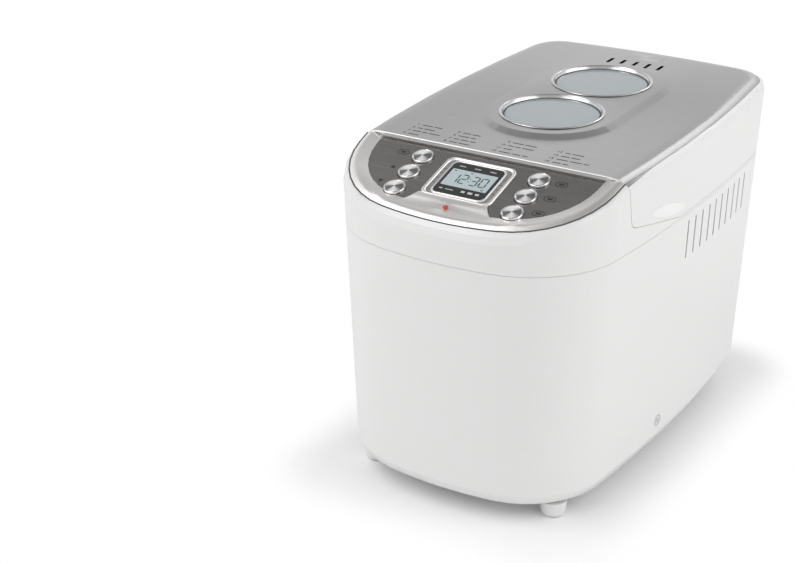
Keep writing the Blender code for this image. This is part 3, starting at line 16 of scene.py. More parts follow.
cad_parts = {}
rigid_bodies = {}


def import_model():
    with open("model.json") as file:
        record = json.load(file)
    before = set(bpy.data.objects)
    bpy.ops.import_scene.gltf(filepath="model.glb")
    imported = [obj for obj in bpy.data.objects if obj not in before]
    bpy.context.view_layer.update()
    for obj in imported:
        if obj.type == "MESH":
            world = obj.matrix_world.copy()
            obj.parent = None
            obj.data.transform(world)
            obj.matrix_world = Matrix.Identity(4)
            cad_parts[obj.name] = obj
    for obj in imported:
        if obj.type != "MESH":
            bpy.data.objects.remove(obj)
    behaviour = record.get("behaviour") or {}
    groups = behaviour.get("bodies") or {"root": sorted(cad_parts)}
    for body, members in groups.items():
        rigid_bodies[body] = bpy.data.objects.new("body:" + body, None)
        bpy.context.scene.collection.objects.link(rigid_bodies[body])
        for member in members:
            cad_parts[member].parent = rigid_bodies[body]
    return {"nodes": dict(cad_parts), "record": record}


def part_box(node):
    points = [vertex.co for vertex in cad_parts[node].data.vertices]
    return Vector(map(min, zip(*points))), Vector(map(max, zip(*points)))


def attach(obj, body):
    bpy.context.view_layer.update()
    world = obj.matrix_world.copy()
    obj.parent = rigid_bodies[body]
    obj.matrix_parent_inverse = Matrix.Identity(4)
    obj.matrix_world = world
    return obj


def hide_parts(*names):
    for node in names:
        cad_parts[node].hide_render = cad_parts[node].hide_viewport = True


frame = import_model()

node = frame["nodes"]
body_of = {name: body for body, names in frame["record"]["behaviour"]["bodies"].items() for name in names}
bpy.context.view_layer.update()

# %% [markdown]
# ## Where things are
#
# Two planes carry nearly all the fine detail: the lid, which rises slightly towards the back, and
# the control panel, which slopes down to the front. Each is described by one point, the direction
# that runs down or back along it, and its normal. The two windows give the lid's plane, and two
# buttons of one column give the panel's, so nothing has to be measured by eye.

# %% Planes of the lid and the panel
def middle(name):
    low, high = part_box(name)
    return (low + high) / 2


class Flat:
    """A flat on the machine. at() turns a place across it, up it and above it into one in the room."""

    def __init__(self, origin, up):
        self.origin = origin
        self.up = up.normalized()
        self.normal = Vector((1, 0, 0)).cross(self.up).normalized()

    def at(self, across, up, height=0.0):
        return self.origin + Vector((across, 0, 0)) + self.up * up + self.normal * height

    def matrix(self, across, up, height=0.0):
        turn = Matrix((Vector((1, 0, 0)), self.up, self.normal)).transposed().to_4x4()
        return Matrix.Translation(self.at(across, up, height)) @ turn


RING_RISE = 0.00265  # middle of a window ring above the flat of the lid
LENS_RISE = -0.0001  # middle of the display lens above the flat of the panel
LENS_FROM_SEAM = 0.0332
seam_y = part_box("lid_plate")[0].y
front_ring, rear_ring = middle("window_ring_front"), middle("window_ring_rear")
lid = Flat(front_ring, rear_ring - front_ring)
lid.origin = lid.at(0.0, (seam_y - front_ring.y) / lid.up.y, -RING_RISE)
panel = Flat(middle("display_lens"), middle("button_menu") - middle("button_time_down"))
panel.origin = panel.at(-panel.origin.x, LENS_FROM_SEAM, -LENS_RISE)
for name, flat in (("lid", lid), ("panel", panel)):
    print(name, "slopes", round(math.degrees(math.atan2(flat.up.z, flat.up.y)), 2), "degrees")

# %% [markdown]
# ## Working by hand, in code
#
# An operator acts on whatever is selected, so each step starts by selecting exactly one thing.
# These helpers do that, place a finished piece's shape in its mesh, and hang it on its body.

# %% Selecting and finishing
def select_only(*pieces):
    bpy.ops.object.select_all(action="DESELECT")
    for piece in pieces:
        piece.select_set(True)
    bpy.context.view_layer.objects.active = pieces[0]


def in_edit(piece, *steps):
    """Runs operators on the whole of one mesh in edit mode."""
    select_only(piece)
    bpy.ops.object.mode_set(mode="EDIT")
    bpy.ops.mesh.select_all(action="SELECT")
    for step in steps:
        step()
    bpy.ops.object.mode_set(mode="OBJECT")


def settle(piece):
    """Moves the object's place, turn and scale into its mesh."""
    select_only(piece)
    bpy.ops.object.transform_apply(location=True, rotation=True, scale=True)


def finish_piece(piece, name, look, body, angle=35):
    piece.name = name
    piece.data.materials.clear()
    piece.data.materials.append(look)
    settle(piece)
    bpy.ops.object.shade_smooth_by_angle(angle=math.radians(angle))
    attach(piece, body)
    return piece


# %% [markdown]
# ## Finishes
#
# Each finish is a small node group of its own. Colours are written as the surface looks in plain
# light. Noise gives moulded plastic its faint orange peel, and noise stretched a hundredfold gives
# steel its brush lines.

# %% A starting material
def shades(colour, darker, lighter):
    """Two shades of a colour, one on each side of it."""
    return [c * darker for c in colour], [min(1.0, c * lighter) for c in colour]


def new_look(name, colour, roughness, metallic=0.0):
    look = bpy.data.materials.new(name)
    look.use_nodes = True
    shader = look.node_tree.nodes["Principled BSDF"]
    shader.inputs["Base Color"].default_value = (*colour, 1.0)
    shader.inputs["Roughness"].default_value = roughness
    shader.inputs["Metallic"].default_value = metallic
    look.diffuse_color = (*colour, 1.0)
    return look, look.node_tree, shader


def pattern(tree, scale, stretch=(1, 1, 1), detail=4.0, turn=(0, 0, 0)):
    """Noise on Object coordinates, stretched along an axis; gives its node back."""
    place = tree.nodes.new("ShaderNodeTexCoord")
    mapping = tree.nodes.new("ShaderNodeMapping")
    mapping.inputs["Scale"].default_value = stretch
    mapping.inputs["Rotation"].default_value = turn
    noise = tree.nodes.new("ShaderNodeTexNoise")
    noise.inputs["Scale"].default_value = scale
    noise.inputs["Detail"].default_value = detail
    tree.links.new(place.outputs["Object"], mapping.inputs["Vector"])
    tree.links.new(mapping.outputs["Vector"], noise.inputs["Vector"])
    return noise


def spread(tree, noise, socket, low, high):
    """Sends noise to a number socket, between two values."""
    span = tree.nodes.new("ShaderNodeMapRange")
    span.inputs["To Min"].default_value = low
    span.inputs["To Max"].default_value = high
    tree.links.new(noise.outputs["Fac"], span.inputs["Value"])
    tree.links.new(span.outputs["Result"], socket)


def tint(tree, noise, shader, dark_and_light):
    """Sends noise to the colour, between two shades."""
    dark, light = dark_and_light
    ramp = tree.nodes.new("ShaderNodeValToRGB")
    ramp.color_ramp.elements[0].position = 0.3
    ramp.color_ramp.elements[0].color = (*dark, 1.0)
    ramp.color_ramp.elements[1].position = 0.7
    ramp.color_ramp.elements[1].color = (*light, 1.0)
    tree.links.new(noise.outputs["Fac"], ramp.inputs["Fac"])
    tree.links.new(ramp.outputs["Color"], shader.inputs["Base Color"])


def bump(tree, noise, shader, strength, distance):
    relief = tree.nodes.new("ShaderNodeBump")
    relief.inputs["Strength"].default_value = strength
    relief.inputs["Distance"].default_value = distance
    tree.links.new(noise.outputs["Fac"], relief.inputs["Height"])
    tree.links.new(relief.outputs["Normal"], shader.inputs["Normal"])


# %% [markdown]
# The housing and lid shell are glossy moulded plastic, so they get a thin clear coat over a nearly
# even white. A plain colour would look like paper: the slight change of gloss from the noise is what
# makes it read as plastic. Rubber is darker, matt and blotchy.

# %% Plastics and rubber
def moulded(name, shade, roughness, grain=900.0, strength=0.06, coat=0.0):
    """Moulded plastic: nearly one colour, with a fine orange peel."""
    look, tree, shader = new_look(name, shade, roughness)
    noise = pattern(tree, grain, detail=3.0)
    tint(tree, noise, shader, shades(shade, 0.985, 1.01))
    spread(tree, noise, shader.inputs["Roughness"], roughness * 0.92, roughness * 1.08)
    bump(tree, noise, shader, strength, 0.0001)
    shader.inputs["Coat Weight"].default_value = coat
    shader.inputs["Coat Roughness"].default_value = 0.12
    return look


def rubbery(name, shade, roughness=0.75):
    """Rubber: matt, slightly mottled, with a soft sheen."""
    look, tree, shader = new_look(name, shade, roughness)
    noise = pattern(tree, 350.0, detail=6.0)
    tint(tree, noise, shader, shades(shade, 0.85, 1.12))
    bump(tree, noise, shader, 0.25, 0.0002)
    shader.inputs["Sheen Weight"].default_value = 0.15
    return look


white_plastic = moulded("white_plastic", (0.80, 0.80, 0.795), 0.33, coat=0.25)
base_plastic = moulded("base_plastic", (0.76, 0.76, 0.755), 0.5)
black_plastic = moulded("black_plastic", (0.015, 0.015, 0.016), 0.4)
black_lens = moulded("black_lens", (0.008, 0.008, 0.009), 0.08, strength=0.0, coat=0.6)
seal_rubber = rubbery("seal_rubber", (0.32, 0.32, 0.32), 0.6)
belt_rubber = rubbery("belt_rubber", (0.03, 0.03, 0.03))
gland_rubber = rubbery("gland_rubber", (0.05, 0.05, 0.05))
foot_white = moulded("foot_white", (0.80, 0.80, 0.795), 0.6, 500.0, 0.1)


# %% [markdown]
# The steel of lid and panel is brushed from side to side. Noise squeezed along two axes and left long
# on the third gives such lines in colour, gloss and relief at once, and they need no image. Cast,
# drawn and polished metal has no direction, so it gets plain cloudy noise.

# %% Metals
def brushed(name, shade, roughness, stretch, relief=0.12, contrast=0.10, anisotropy=0.5):
    """Sheet brushed in one direction: long fine lines in colour, gloss and relief."""
    look, tree, shader = new_look(name, shade, roughness, 1.0)
    lines = pattern(tree, 12.0, stretch, detail=8.0)
    tint(tree, lines, shader, shades(shade, 1 - contrast, 1 + contrast))
    spread(tree, lines, shader.inputs["Roughness"], roughness * 0.8, roughness * 1.25)
    bump(tree, lines, shader, relief, 0.00005)
    shader.inputs["Anisotropic"].default_value = anisotropy
    return look


def plain_metal(name, shade, roughness, grain=220.0, contrast=0.08):
    """Sheet, cast or polished metal with a faint cloudiness."""
    look, tree, shader = new_look(name, shade, roughness, 1.0)
    cloud = pattern(tree, grain, detail=5.0)
    tint(tree, cloud, shader, shades(shade, 1 - contrast, 1 + contrast))
    spread(tree, cloud, shader.inputs["Roughness"], roughness * 0.85, roughness * 1.2)
    return look


lid_steel = brushed("lid_steel", (0.43, 0.43, 0.435), 0.30, (4, 160, 160))
panel_steel = brushed("panel_steel", (0.27, 0.258, 0.252), 0.27, (4, 160, 160))
tray_steel = brushed("tray_steel", (0.46, 0.45, 0.445), 0.32, (4, 160, 160))
patch_painted_highlight = brushed("patch_painted_highlight", (0.52, 0.52, 0.525), 0.30, (4, 160, 160), contrast=0.05)
# light colour of the rolled edge, the display bead and the tongue: a painted highlight for the light they
# catch from the front
painted_highlight_steel = brushed("painted_highlight_steel", (0.86, 0.845, 0.835), 0.36, (4, 160, 160), 0.05, 0.04)
# light colour of the seam bead: a painted highlight
painted_highlight_edge = plain_metal("painted_highlight_edge", (0.74, 0.73, 0.725), 0.38, contrast=0.02)
polished = plain_metal("polished", (0.80, 0.80, 0.81), 0.10, contrast=0.02)
bezel_steel = plain_metal("bezel_steel", (0.60, 0.60, 0.61), 0.22, contrast=0.03)
zinc_sheet = plain_metal("zinc_sheet", (0.48, 0.48, 0.49), 0.38, 90.0, 0.12)
liner_sheet = plain_metal("liner_sheet", (0.62, 0.62, 0.63), 0.34, 60.0, 0.06)
cast_alloy = plain_metal("cast_alloy", (0.42, 0.42, 0.43), 0.5, 700.0, 0.15)
heater_tube = plain_metal("heater_tube", (0.17, 0.15, 0.14), 0.42, 120.0, 0.25)
bronze = plain_metal("bronze", (0.36, 0.22, 0.09), 0.4, 600.0, 0.15)


def non_stick():
    look, tree, shader = new_look("non_stick", (0.035, 0.036, 0.038), 0.42)
    fleck = pattern(tree, 2600.0, detail=2.0)
    tint(tree, fleck, shader, ((0.022, 0.022, 0.024), (0.060, 0.061, 0.064)))
    bump(tree, fleck, shader, 0.2, 0.0001)
    shader.inputs["Coat Weight"].default_value = 0.2
    shader.inputs["Coat Roughness"].default_value = 0.3
    return look


coating = non_stick()


# %% [markdown]
# The window glass lets some light through and has a faint tint. The display is a pale grey-blue that
# reflects the room, and only the red lamp glows, very weakly.

# %% Glass, display, lamp and circuit board
def window_glass():
    look, tree, shader = new_look("window_glass", (0.55, 0.60, 0.62), 0.06)
    haze = pattern(tree, 40.0, detail=2.0)
    spread(tree, haze, shader.inputs["Roughness"], 0.05, 0.09)
    shader.inputs["Transmission Weight"].default_value = 0.45
    shader.inputs["IOR"].default_value = 1.48
    return look


def glowing(name, shade, roughness, strength):
    look, tree, shader = new_look(name, shade, roughness)
    noise = pattern(tree, 500.0)
    tint(tree, noise, shader, shades(shade, 0.97, 1.03))
    shader.inputs["Emission Color"].default_value = (*shade, 1.0)
    shader.inputs["Emission Strength"].default_value = strength
    return look


def printed_board():
    look, tree, shader = new_look("printed_board", (0.02, 0.15, 0.06), 0.4)
    tracks = pattern(tree, 180.0, (1, 0.15, 1), detail=1.0)
    tint(tree, tracks, shader, ((0.012, 0.10, 0.04), (0.03, 0.20, 0.09)))
    bump(tree, tracks, shader, 0.2, 0.0001)
    return look


glass = window_glass()
display_pale = glowing("display_pale", (0.47, 0.56, 0.58), 0.25, 0.0)
display_ink = moulded("display_ink", (0.02, 0.022, 0.03), 0.4, strength=0.0)
print_ink = moulded("print_ink", (0.018, 0.016, 0.015), 0.5, strength=0.0)
# a lighter white for the finger scoops: a painted highlight for the light their hollow catches
scoop_painted_highlight = moulded("scoop_painted_highlight", (0.88, 0.88, 0.875), 0.3, coat=0.25)
plug_grey = moulded("plug_grey", (0.55, 0.55, 0.55), 0.4)
pale_ink = moulded("pale_ink", (0.55, 0.56, 0.57), 0.5, strength=0.0)
lamp_red = glowing("lamp_red", (0.50, 0.045, 0.03), 0.2, 0.12)
circuit = printed_board()

# %% [markdown]
# ## Loaded pieces
#
# Every loaded piece gets the finish that its record slot names. They arrive as loose triangles,
# which shade as flat facets. The ones that show are copied, their points are merged, and the copy
# is shaded smooth up to a fold of 35 degrees, so a rolled edge reads as one curve and a real
# corner stays sharp.

# %% Finish of each slot
slot_looks = {
    "white": white_plastic, "base_white": base_plastic, "steel": lid_steel, "dark_steel": panel_steel,
    "chrome": polished, "spun_metal": polished, "glass": glass, "black": black_plastic, "lens": black_lens,
    "display": display_pale, "lamp": lamp_red, "board": circuit, "coating": coating, "sheet": zinc_sheet,
    "liner": liner_sheet, "alloy": cast_alloy, "copper_tube": heater_tube, "rubber": gland_rubber,
    "belt": belt_rubber, "silicone": seal_rubber, "foot": foot_white, "bronze": bronze,
}
slot_of = {row["node"]: row["material_slot"] for row in frame["record"]["subparts"]}
for name, piece in node.items():
    piece.data.materials.clear()
    piece.data.materials.append(slot_looks[slot_of[name]])


# %% Smooth copies of the loaded pieces
def smooth_copy(name):
    """Replaces a loaded piece by a copy whose triangles are joined and shaded smooth."""
    piece = bpy.data.objects.new(f"{name}_skin", node[name].data.copy())
    bpy.context.scene.collection.objects.link(piece)
    in_edit(
        piece,
        lambda: bpy.ops.mesh.remove_doubles(threshold=0.00002),
        lambda: bpy.ops.mesh.dissolve_limited(angle_limit=math.radians(0.4)),
    )
    finish_piece(piece, f"{name}_skin", slot_looks[slot_of[name]], body_of[name])
    weigh = piece.modifiers.new("weighted", "WEIGHTED_NORMAL")
    weigh.weight = 60
    weigh.keep_sharp = True
    select_only(piece)
    bpy.ops.object.modifier_apply(modifier="weighted")
    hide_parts(name)
    return piece


SMOOTHED = (
    "lower_housing", "upper_housing", "lid_shell", "lid_plate", "control_panel", "bread_pan",
    "baking_chamber", "lid_liner", "lid_seal", "pan_handle", "heating_element", "motor",
    "kneading_paddle_front", "kneading_paddle_rear", "cord_gland",
    "foot_front_left", "foot_front_right", "foot_rear_left", "foot_rear_right",
)
skins = {name: smooth_copy(name) for name in SMOOTHED}
print("smoothed", len(skins), "pieces")

# %% [markdown]
# ## Shaping helpers
#
# Round pieces are drawn out ring by ring from a circle, as on a lathe, and framed pieces the same
# way from a rounded rectangle. Printed marks are thin plates cut to shape once and copied.

# %% Drawing out rings
def start(name):
    piece = bpy.context.active_object
    piece.name = name
    settle(piece)
    return piece


def draw_out(steps):
    """Extrudes the selected loop through a list of (x scale, y scale, rise)."""
    for scale_x, scale_y, rise in steps:
        bpy.ops.mesh.extrude_region_move(TRANSFORM_OT_translate={"value": (0, 0, rise)})
        bpy.ops.transform.resize(value=(scale_x, scale_y, 1))


def tidy_mesh(piece):
    in_edit(
        piece,
        lambda: bpy.ops.mesh.remove_doubles(threshold=0.000001),
        lambda: bpy.ops.mesh.normals_make_consistent(inside=False),
    )
    return piece


def steps_between(rows):
    """Turns rows of (half x, half y, height) in millimetres into steps for draw_out."""
    return [(b[0] / a[0], b[1] / a[1], (b[2] - a[2]) / 1000) for a, b in zip(rows, rows[1:])]


def turned_piece(name, outline, segments=96, capped=True):
    """A round piece on the Z axis, through (radius, height) points in millimetres."""
    bpy.ops.object.select_all(action="DESELECT")
    radius, height = outline[0]
    bpy.ops.mesh.primitive_circle_add(
        vertices=segments, radius=radius / 1000, fill_type="NGON" if capped else "NOTHING",
        location=(0, 0, height / 1000),
    )
    piece = start(name)
    in_edit(piece, lambda: draw_out(steps_between([(r, r, h) for r, h in outline])))
    return tidy_mesh(piece)


def plate(name, half_x, half_y, corner, segments=5):
    """A flat rounded rectangle of one face on the XY plane, in millimetres."""
    bpy.ops.object.select_all(action="DESELECT")
    bpy.ops.mesh.primitive_plane_add(size=2.0)
    bpy.context.active_object.scale = (half_x / 1000, half_y / 1000, 1)
    piece = start(name)
    if corner:
        in_edit(
            piece,
            lambda: bpy.ops.mesh.bevel(offset=corner / 1000, segments=segments, affect="VERTICES"),
        )
    return piece


def thicken(piece, low, high):
    """Gives a flat piece its thickness, from low to high in millimetres."""
    in_edit(
        piece,
        lambda: bpy.ops.transform.translate(value=(0, 0, low / 1000)),
        lambda: draw_out([(1, 1, (high - low) / 1000)]),
    )
    return tidy_mesh(piece)


def copy_to(piece, name, place):
    """A copy with its own mesh, set down by a matrix."""
    twin = piece.copy()
    twin.data = piece.data.copy()
    twin.name = name
    bpy.context.scene.collection.objects.link(twin)
    twin.matrix_world = place
    settle(twin)
    return twin


def joined(name, pieces):
    select_only(*pieces)
    bpy.ops.object.join()
    pieces[0].name = name
    return pieces[0]


def scrap(*pieces):
    for piece in pieces:
        bpy.data.objects.remove(piece)


def scrap_marks():
    """Removes the plates that were only copied from."""
    scrap(*[piece for piece in bpy.data.objects if piece.name.startswith("mark")])


# %% [markdown]
# ## Window rings and glass
#
# Each window is a glass disc sunk in a polished bezel. The bezel has a narrow crest and a steep
# inner wall that runs down like a funnel to a dark seal round the glass. The real one is trimmed on
# a lathe, so both are drawn out from circles, with enough segments to reflect as true curves.

# %% Windows
RING_OUTLINE = (
    (42.4, 3.3), (42.5, 3.5), (42.35, 3.75), (41.9, 4.0), (41.4, 4.15), (40.95, 4.1), (40.6, 3.85),
    (40.2, 3.2), (39.8, 2.45), (39.4, 1.75), (39.1, 1.3), (38.7, 1.15), (38.1, 1.15), (38.1, 0.85),
    (40.1, 0.85), (40.1, 3.3), (42.4, 3.3),
)
GLASS_OUTLINE = (
    (38.8, -1.6), (38.8, 0.7), (37.9, 0.75), (37.8, 1.0), (37.3, 1.12), (35.0, 1.15), (30.0, 1.2),
    (20.0, 1.25), (10.0, 1.3), (0.5, 1.32),
)
SEAL_TOP = 0.0013  # below this height the bezel is rubber, not metal
ring = turned_piece("ring_pattern", RING_OUTLINE, capped=False)
disc = turned_piece("glass_pattern", GLASS_OUTLINE)
for spot in ("front", "rear"):
    centre = middle(f"window_ring_{spot}")
    place = lid.matrix(0.0, (centre - lid.origin).dot(lid.up))
    bezel = copy_to(ring, f"window_bezel_{spot}", place)
    finish_piece(bezel, f"window_bezel_{spot}", bezel_steel, "lid")
    bezel.data.materials.append(gland_rubber)
    for face, pattern_face in zip(bezel.data.polygons, ring.data.polygons):
        face.material_index = int(pattern_face.center.z < SEAL_TOP)
    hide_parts(f"window_ring_{spot}")
    pane = copy_to(disc, f"window_disc_{spot}", place)
    finish_piece(pane, f"window_disc_{spot}", glass, "lid")
    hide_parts(f"window_pane_{spot}")
scrap(ring, disc)
print("window bezel", [round(v * 1000, 1) for v in bezel.dimensions], "mm")

# %% [markdown]
# ## Buttons
#
# The six buttons are turned metal: a polished skirt, an eased edge and a top cut in fine circles.
# Light falls on such a top in a few bright and dark wedges; here those wedges are painted highlights
# and painted shade in the top's colour, and the circles are a bump. Both are drawn in the button's
# own UV map, so one button can be made and copied with its pattern in place.

# %% Spun metal
# brightness of the top by its angle round the middle: painted highlights and painted shade
PAINTED_GLINT_WEDGES = (
    (0.00, 0.75), (0.06, 0.20), (0.17, 0.16), (0.23, 0.80), (0.31, 1.00), (0.38, 0.75),
    (0.46, 0.18), (0.60, 0.14), (0.68, 0.75), (0.77, 1.00), (0.88, 0.95), (1.00, 0.75),
)


def spun_metal():
    look, tree, shader = new_look("spun_tops_painted_glints", (0.6, 0.6, 0.6), 0.30, 0.55)
    place = tree.nodes.new("ShaderNodeUVMap")
    place.uv_map = "UVMap"
    turn = tree.nodes.new("ShaderNodeTexGradient")
    turn.gradient_type = "RADIAL"
    painted_glints = tree.nodes.new("ShaderNodeValToRGB")
    stops = painted_glints.color_ramp.elements
    for spot, shade in PAINTED_GLINT_WEDGES[1:-1]:
        stops.new(spot)
    for stop, (spot, shade) in zip(stops, PAINTED_GLINT_WEDGES):
        stop.position = spot
        stop.color = (shade, shade, shade, 1.0)
    circles = tree.nodes.new("ShaderNodeTexWave")
    circles.wave_type = "RINGS"
    circles.rings_direction = "SPHERICAL"
    circles.inputs["Scale"].default_value = 6.0
    relief = tree.nodes.new("ShaderNodeBump")
    relief.inputs["Strength"].default_value = 0.2
    relief.inputs["Distance"].default_value = 0.00003
    tree.links.new(place.outputs["UV"], turn.inputs["Vector"])
    tree.links.new(place.outputs["UV"], circles.inputs["Vector"])
    tree.links.new(turn.outputs["Fac"], painted_glints.inputs["Fac"])
    tree.links.new(painted_glints.outputs["Color"], shader.inputs["Base Color"])
    tree.links.new(circles.outputs["Fac"], relief.inputs["Height"])
    tree.links.new(relief.outputs["Normal"], shader.inputs["Normal"])
    return look


tops_painted_glints = spun_metal()

# %% [markdown]
# One cap is turned, its UV map is laid flat over its top, and it is copied to the six places of the
# loaded buttons. Each copy rides on its own button's body, so it goes down when the button is pressed.

# %% Buttons
CAP_OUTLINE = (
    (8.5, -1.4), (8.5, 0.9), (8.45, 1.5), (8.2, 1.95), (7.8, 2.15), (7.35, 2.15), (7.1, 2.0),
    (6.9, 2.05), (5.0, 2.25), (3.0, 2.4), (1.5, 2.5), (0.4, 2.55),
)
SPUN_RADIUS = 0.00715
SPUN_FROM = 0.0019  # height above which the top is spun
cap = turned_piece("button_pattern", CAP_OUTLINE, 64)
layer = cap.data.uv_layers["UVMap"]
for loop in cap.data.loops:
    spot = cap.data.vertices[loop.vertex_index].co
    layer.data[loop.index].uv = (spot.x / SPUN_RADIUS, spot.y / SPUN_RADIUS)
for name in [name for name in node if name.startswith("button_")]:
    centre = middle(name)
    place = panel.matrix(centre.x, (centre - panel.origin).dot(panel.up))
    button = copy_to(cap, f"{name}_cap", place)
    finish_piece(button, f"{name}_cap", polished, body_of[name], 30)
    button.data.materials.append(tops_painted_glints)
    # faces of the spun top take the material with the painted wedge highlights and shade
    for face, pattern_face in zip(button.data.polygons, cap.data.polygons):
        inside = pattern_face.center.xy.length < SPUN_RADIUS
        face.material_index = int(inside and pattern_face.center.z > SPUN_FROM)
    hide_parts(name)
scrap(cap)
print("button tops", round(SPUN_RADIUS * 2000, 1), "mm across")

# %% [markdown]
# ## Display
#
# The display sits in a tray pressed into the panel: a rounded bead round it, a flat floor with tick
# marks, and a fine bright frame round black glass. Below, the bead runs out into a wide tongue that
# meets the rolled front edge, with a red lamp in it. Bead, frame and tongue get a light colour, a
# painted highlight for the light they catch.

# %% Display surround
TRAY_FLOOR = 0.3
SURROUND = (
    (29.9, 24.5, 0.05), (29.7, 24.3, 0.8), (29.3, 23.9, 1.3), (28.8, 23.4, 1.45), (28.2, 22.8, 1.35),
    (27.6, 22.2, 0.9), (27.3, 21.9, TRAY_FLOOR), (23.3, 21.1, TRAY_FLOOR), (23.1, 20.9, 0.9),
    (22.7, 20.5, 1.15), (22.2, 20.0, 1.1), (21.9, 19.7, 0.8), (21.9, 19.7, -1.0), (29.9, 24.5, -1.0),
    (29.9, 24.5, 0.05),
)
surround = plate("surround_pattern", SURROUND[0][0], SURROUND[0][1], 6.5, 8)
in_edit(
    surround,
    lambda: bpy.ops.transform.translate(value=(0, 0, SURROUND[0][2] / 1000)),
    lambda: bpy.ops.mesh.delete(type="ONLY_FACE"),
    lambda: bpy.ops.mesh.select_all(action="SELECT"),
    lambda: draw_out(steps_between(SURROUND)),
)
tidy_mesh(surround)
surround.matrix_world = panel.matrix(0.0, -LENS_FROM_SEAM)
finish_piece(surround, "display_surround", painted_highlight_steel, "housing", 40)
surround.data.materials.append(tray_steel)
for face in surround.data.polygons:
    rise = (face.center - panel.origin).dot(panel.normal)
    face.material_index = int(abs(rise - TRAY_FLOOR / 1000) < 0.00005)
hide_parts("display_frame")

# %% [markdown]
# The tongue is a gentle fan-shaped sheet. It starts as a flat grid, and each row of the grid is then
# scaled to its width and moved to its place and height, as one would do by hand row by row.

# %% Tongue below the display
def pick(piece, test):
    """Selects the points of a mesh in edit mode whose place passes a test."""
    bpy.ops.mesh.select_all(action="DESELECT")
    mesh = bmesh.from_edit_mesh(piece.data)
    for point in mesh.verts:
        point.select_set(test(point.co))
    mesh.select_flush(True)
    bmesh.update_edit_mesh(piece.data)


# (down the panel from the seam, half width, height) in millimetres
TONGUE = (
    (56.2, 29.0, 0.9), (57.5, 29.6, 1.35), (59.0, 30.2, 1.45), (61.0, 31.2, 1.35), (63.5, 32.8, 1.05),
    (66.0, 34.8, 0.75), (68.5, 37.2, 0.5), (70.5, 39.6, 0.3), (71.6, 41.2, 0.12),
)
bpy.ops.object.select_all(action="DESELECT")
bpy.ops.mesh.primitive_grid_add(x_subdivisions=30, y_subdivisions=len(TONGUE) - 1, size=2.0)
tongue = start("tongue_pattern")
select_only(tongue)
bpy.ops.object.mode_set(mode="EDIT")
ASIDE = 10.0  # a row that is done is parked this high, so that it isn't picked again
for number, (down, half, rise) in enumerate(TONGUE):
    row = 1 - 2 * number / (len(TONGUE) - 1)
    pick(tongue, lambda spot: abs(spot.y - row) < 0.01 and abs(spot.z) < 0.01)
    bpy.ops.transform.resize(value=(half / 1000, 1, 1))
    bpy.ops.transform.translate(value=(0, -down / 1000 - row, ASIDE + rise / 1000))
bpy.ops.mesh.select_all(action="SELECT")
bpy.ops.transform.translate(value=(0, 0, -ASIDE))
bpy.ops.mesh.select_all(action="DESELECT")
bpy.ops.object.mode_set(mode="OBJECT")
tongue.matrix_world = panel.matrix(0.0, 0.0)
# the tongue's light colour is a painted highlight
finish_piece(tongue, "display_tongue", painted_highlight_steel, "housing", 60)

# %% [markdown]
# The lamp is a small red lens in a collar, turned like the window bezels and set into the tongue.

# %% Red lamp
LAMP_OUTLINE = (
    (2.0, -0.6), (2.0, 1.2), (1.85, 1.55), (1.6, 1.6), (1.45, 1.35), (1.3, 1.6), (0.95, 1.95),
    (0.5, 2.1), (0.1, 2.15),
)
centre = middle("status_lamp")
lamp = turned_piece("lamp_pattern", LAMP_OUTLINE, 40)
lamp.matrix_world = panel.matrix(centre.x, (centre - panel.origin).dot(panel.up))
finish_piece(lamp, "lamp_lens", lamp_red, "housing")
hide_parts("status_lamp")

# %% [markdown]
# ## Glass and digits of the display
#
# The display is black glass with a pale liquid-crystal window. Its digits are seven-segment
# figures: one long six-sided bar is cut, and every segment is a copy of it, upright or lying. The
# small marks above and below stand for the settings.

# %% Display glass
GLASS_TOP = 0.75
COVER = ((21.8, 19.6, -0.9), (21.8, 19.6, 0.55), (21.5, 19.3, GLASS_TOP), (21.0, 18.8, GLASS_TOP))
cover = plate("cover_pattern", COVER[0][0], COVER[0][1], 1.5)
in_edit(
    cover,
    lambda: bpy.ops.transform.translate(value=(0, 0, COVER[0][2] / 1000)),
    lambda: draw_out(steps_between(COVER)),
)
tidy_mesh(cover)
cover.matrix_world = panel.matrix(0.0, -LENS_FROM_SEAM)
finish_piece(cover, "display_cover", black_lens, "housing")
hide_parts("display_lens")
window = thicken(plate("window_pattern", 19.3, 10.4, 0.8), GLASS_TOP - 0.05, GLASS_TOP + 0.03)
window.matrix_world = panel.matrix(0.0, -0.0325)
finish_piece(window, "display_window", display_pale, "housing")

# %% [markdown]
# Digits and marks are plates a few hundredths of a millimetre thick, laid on the glass. Real geometry
# keeps its edge in any view and needs no picture. All dark ones are joined into one piece, and all
# pale ones into another.

# %% Digits and marks
def mark(half_x, half_y, corner=0.0, segments=4, low=GLASS_TOP, high=GLASS_TOP + 0.07):
    return thicken(plate("mark", half_x, half_y, corner, segments), low, high)


def on_panel(piece, across, down, turn=0.0):
    """A copy of a flat piece at a place on the panel, in millimetres, turned by degrees."""
    place = panel.matrix(across / 1000, -down / 1000) @ Matrix.Rotation(math.radians(turn), 4, "Z")
    return copy_to(piece, "mark", place)


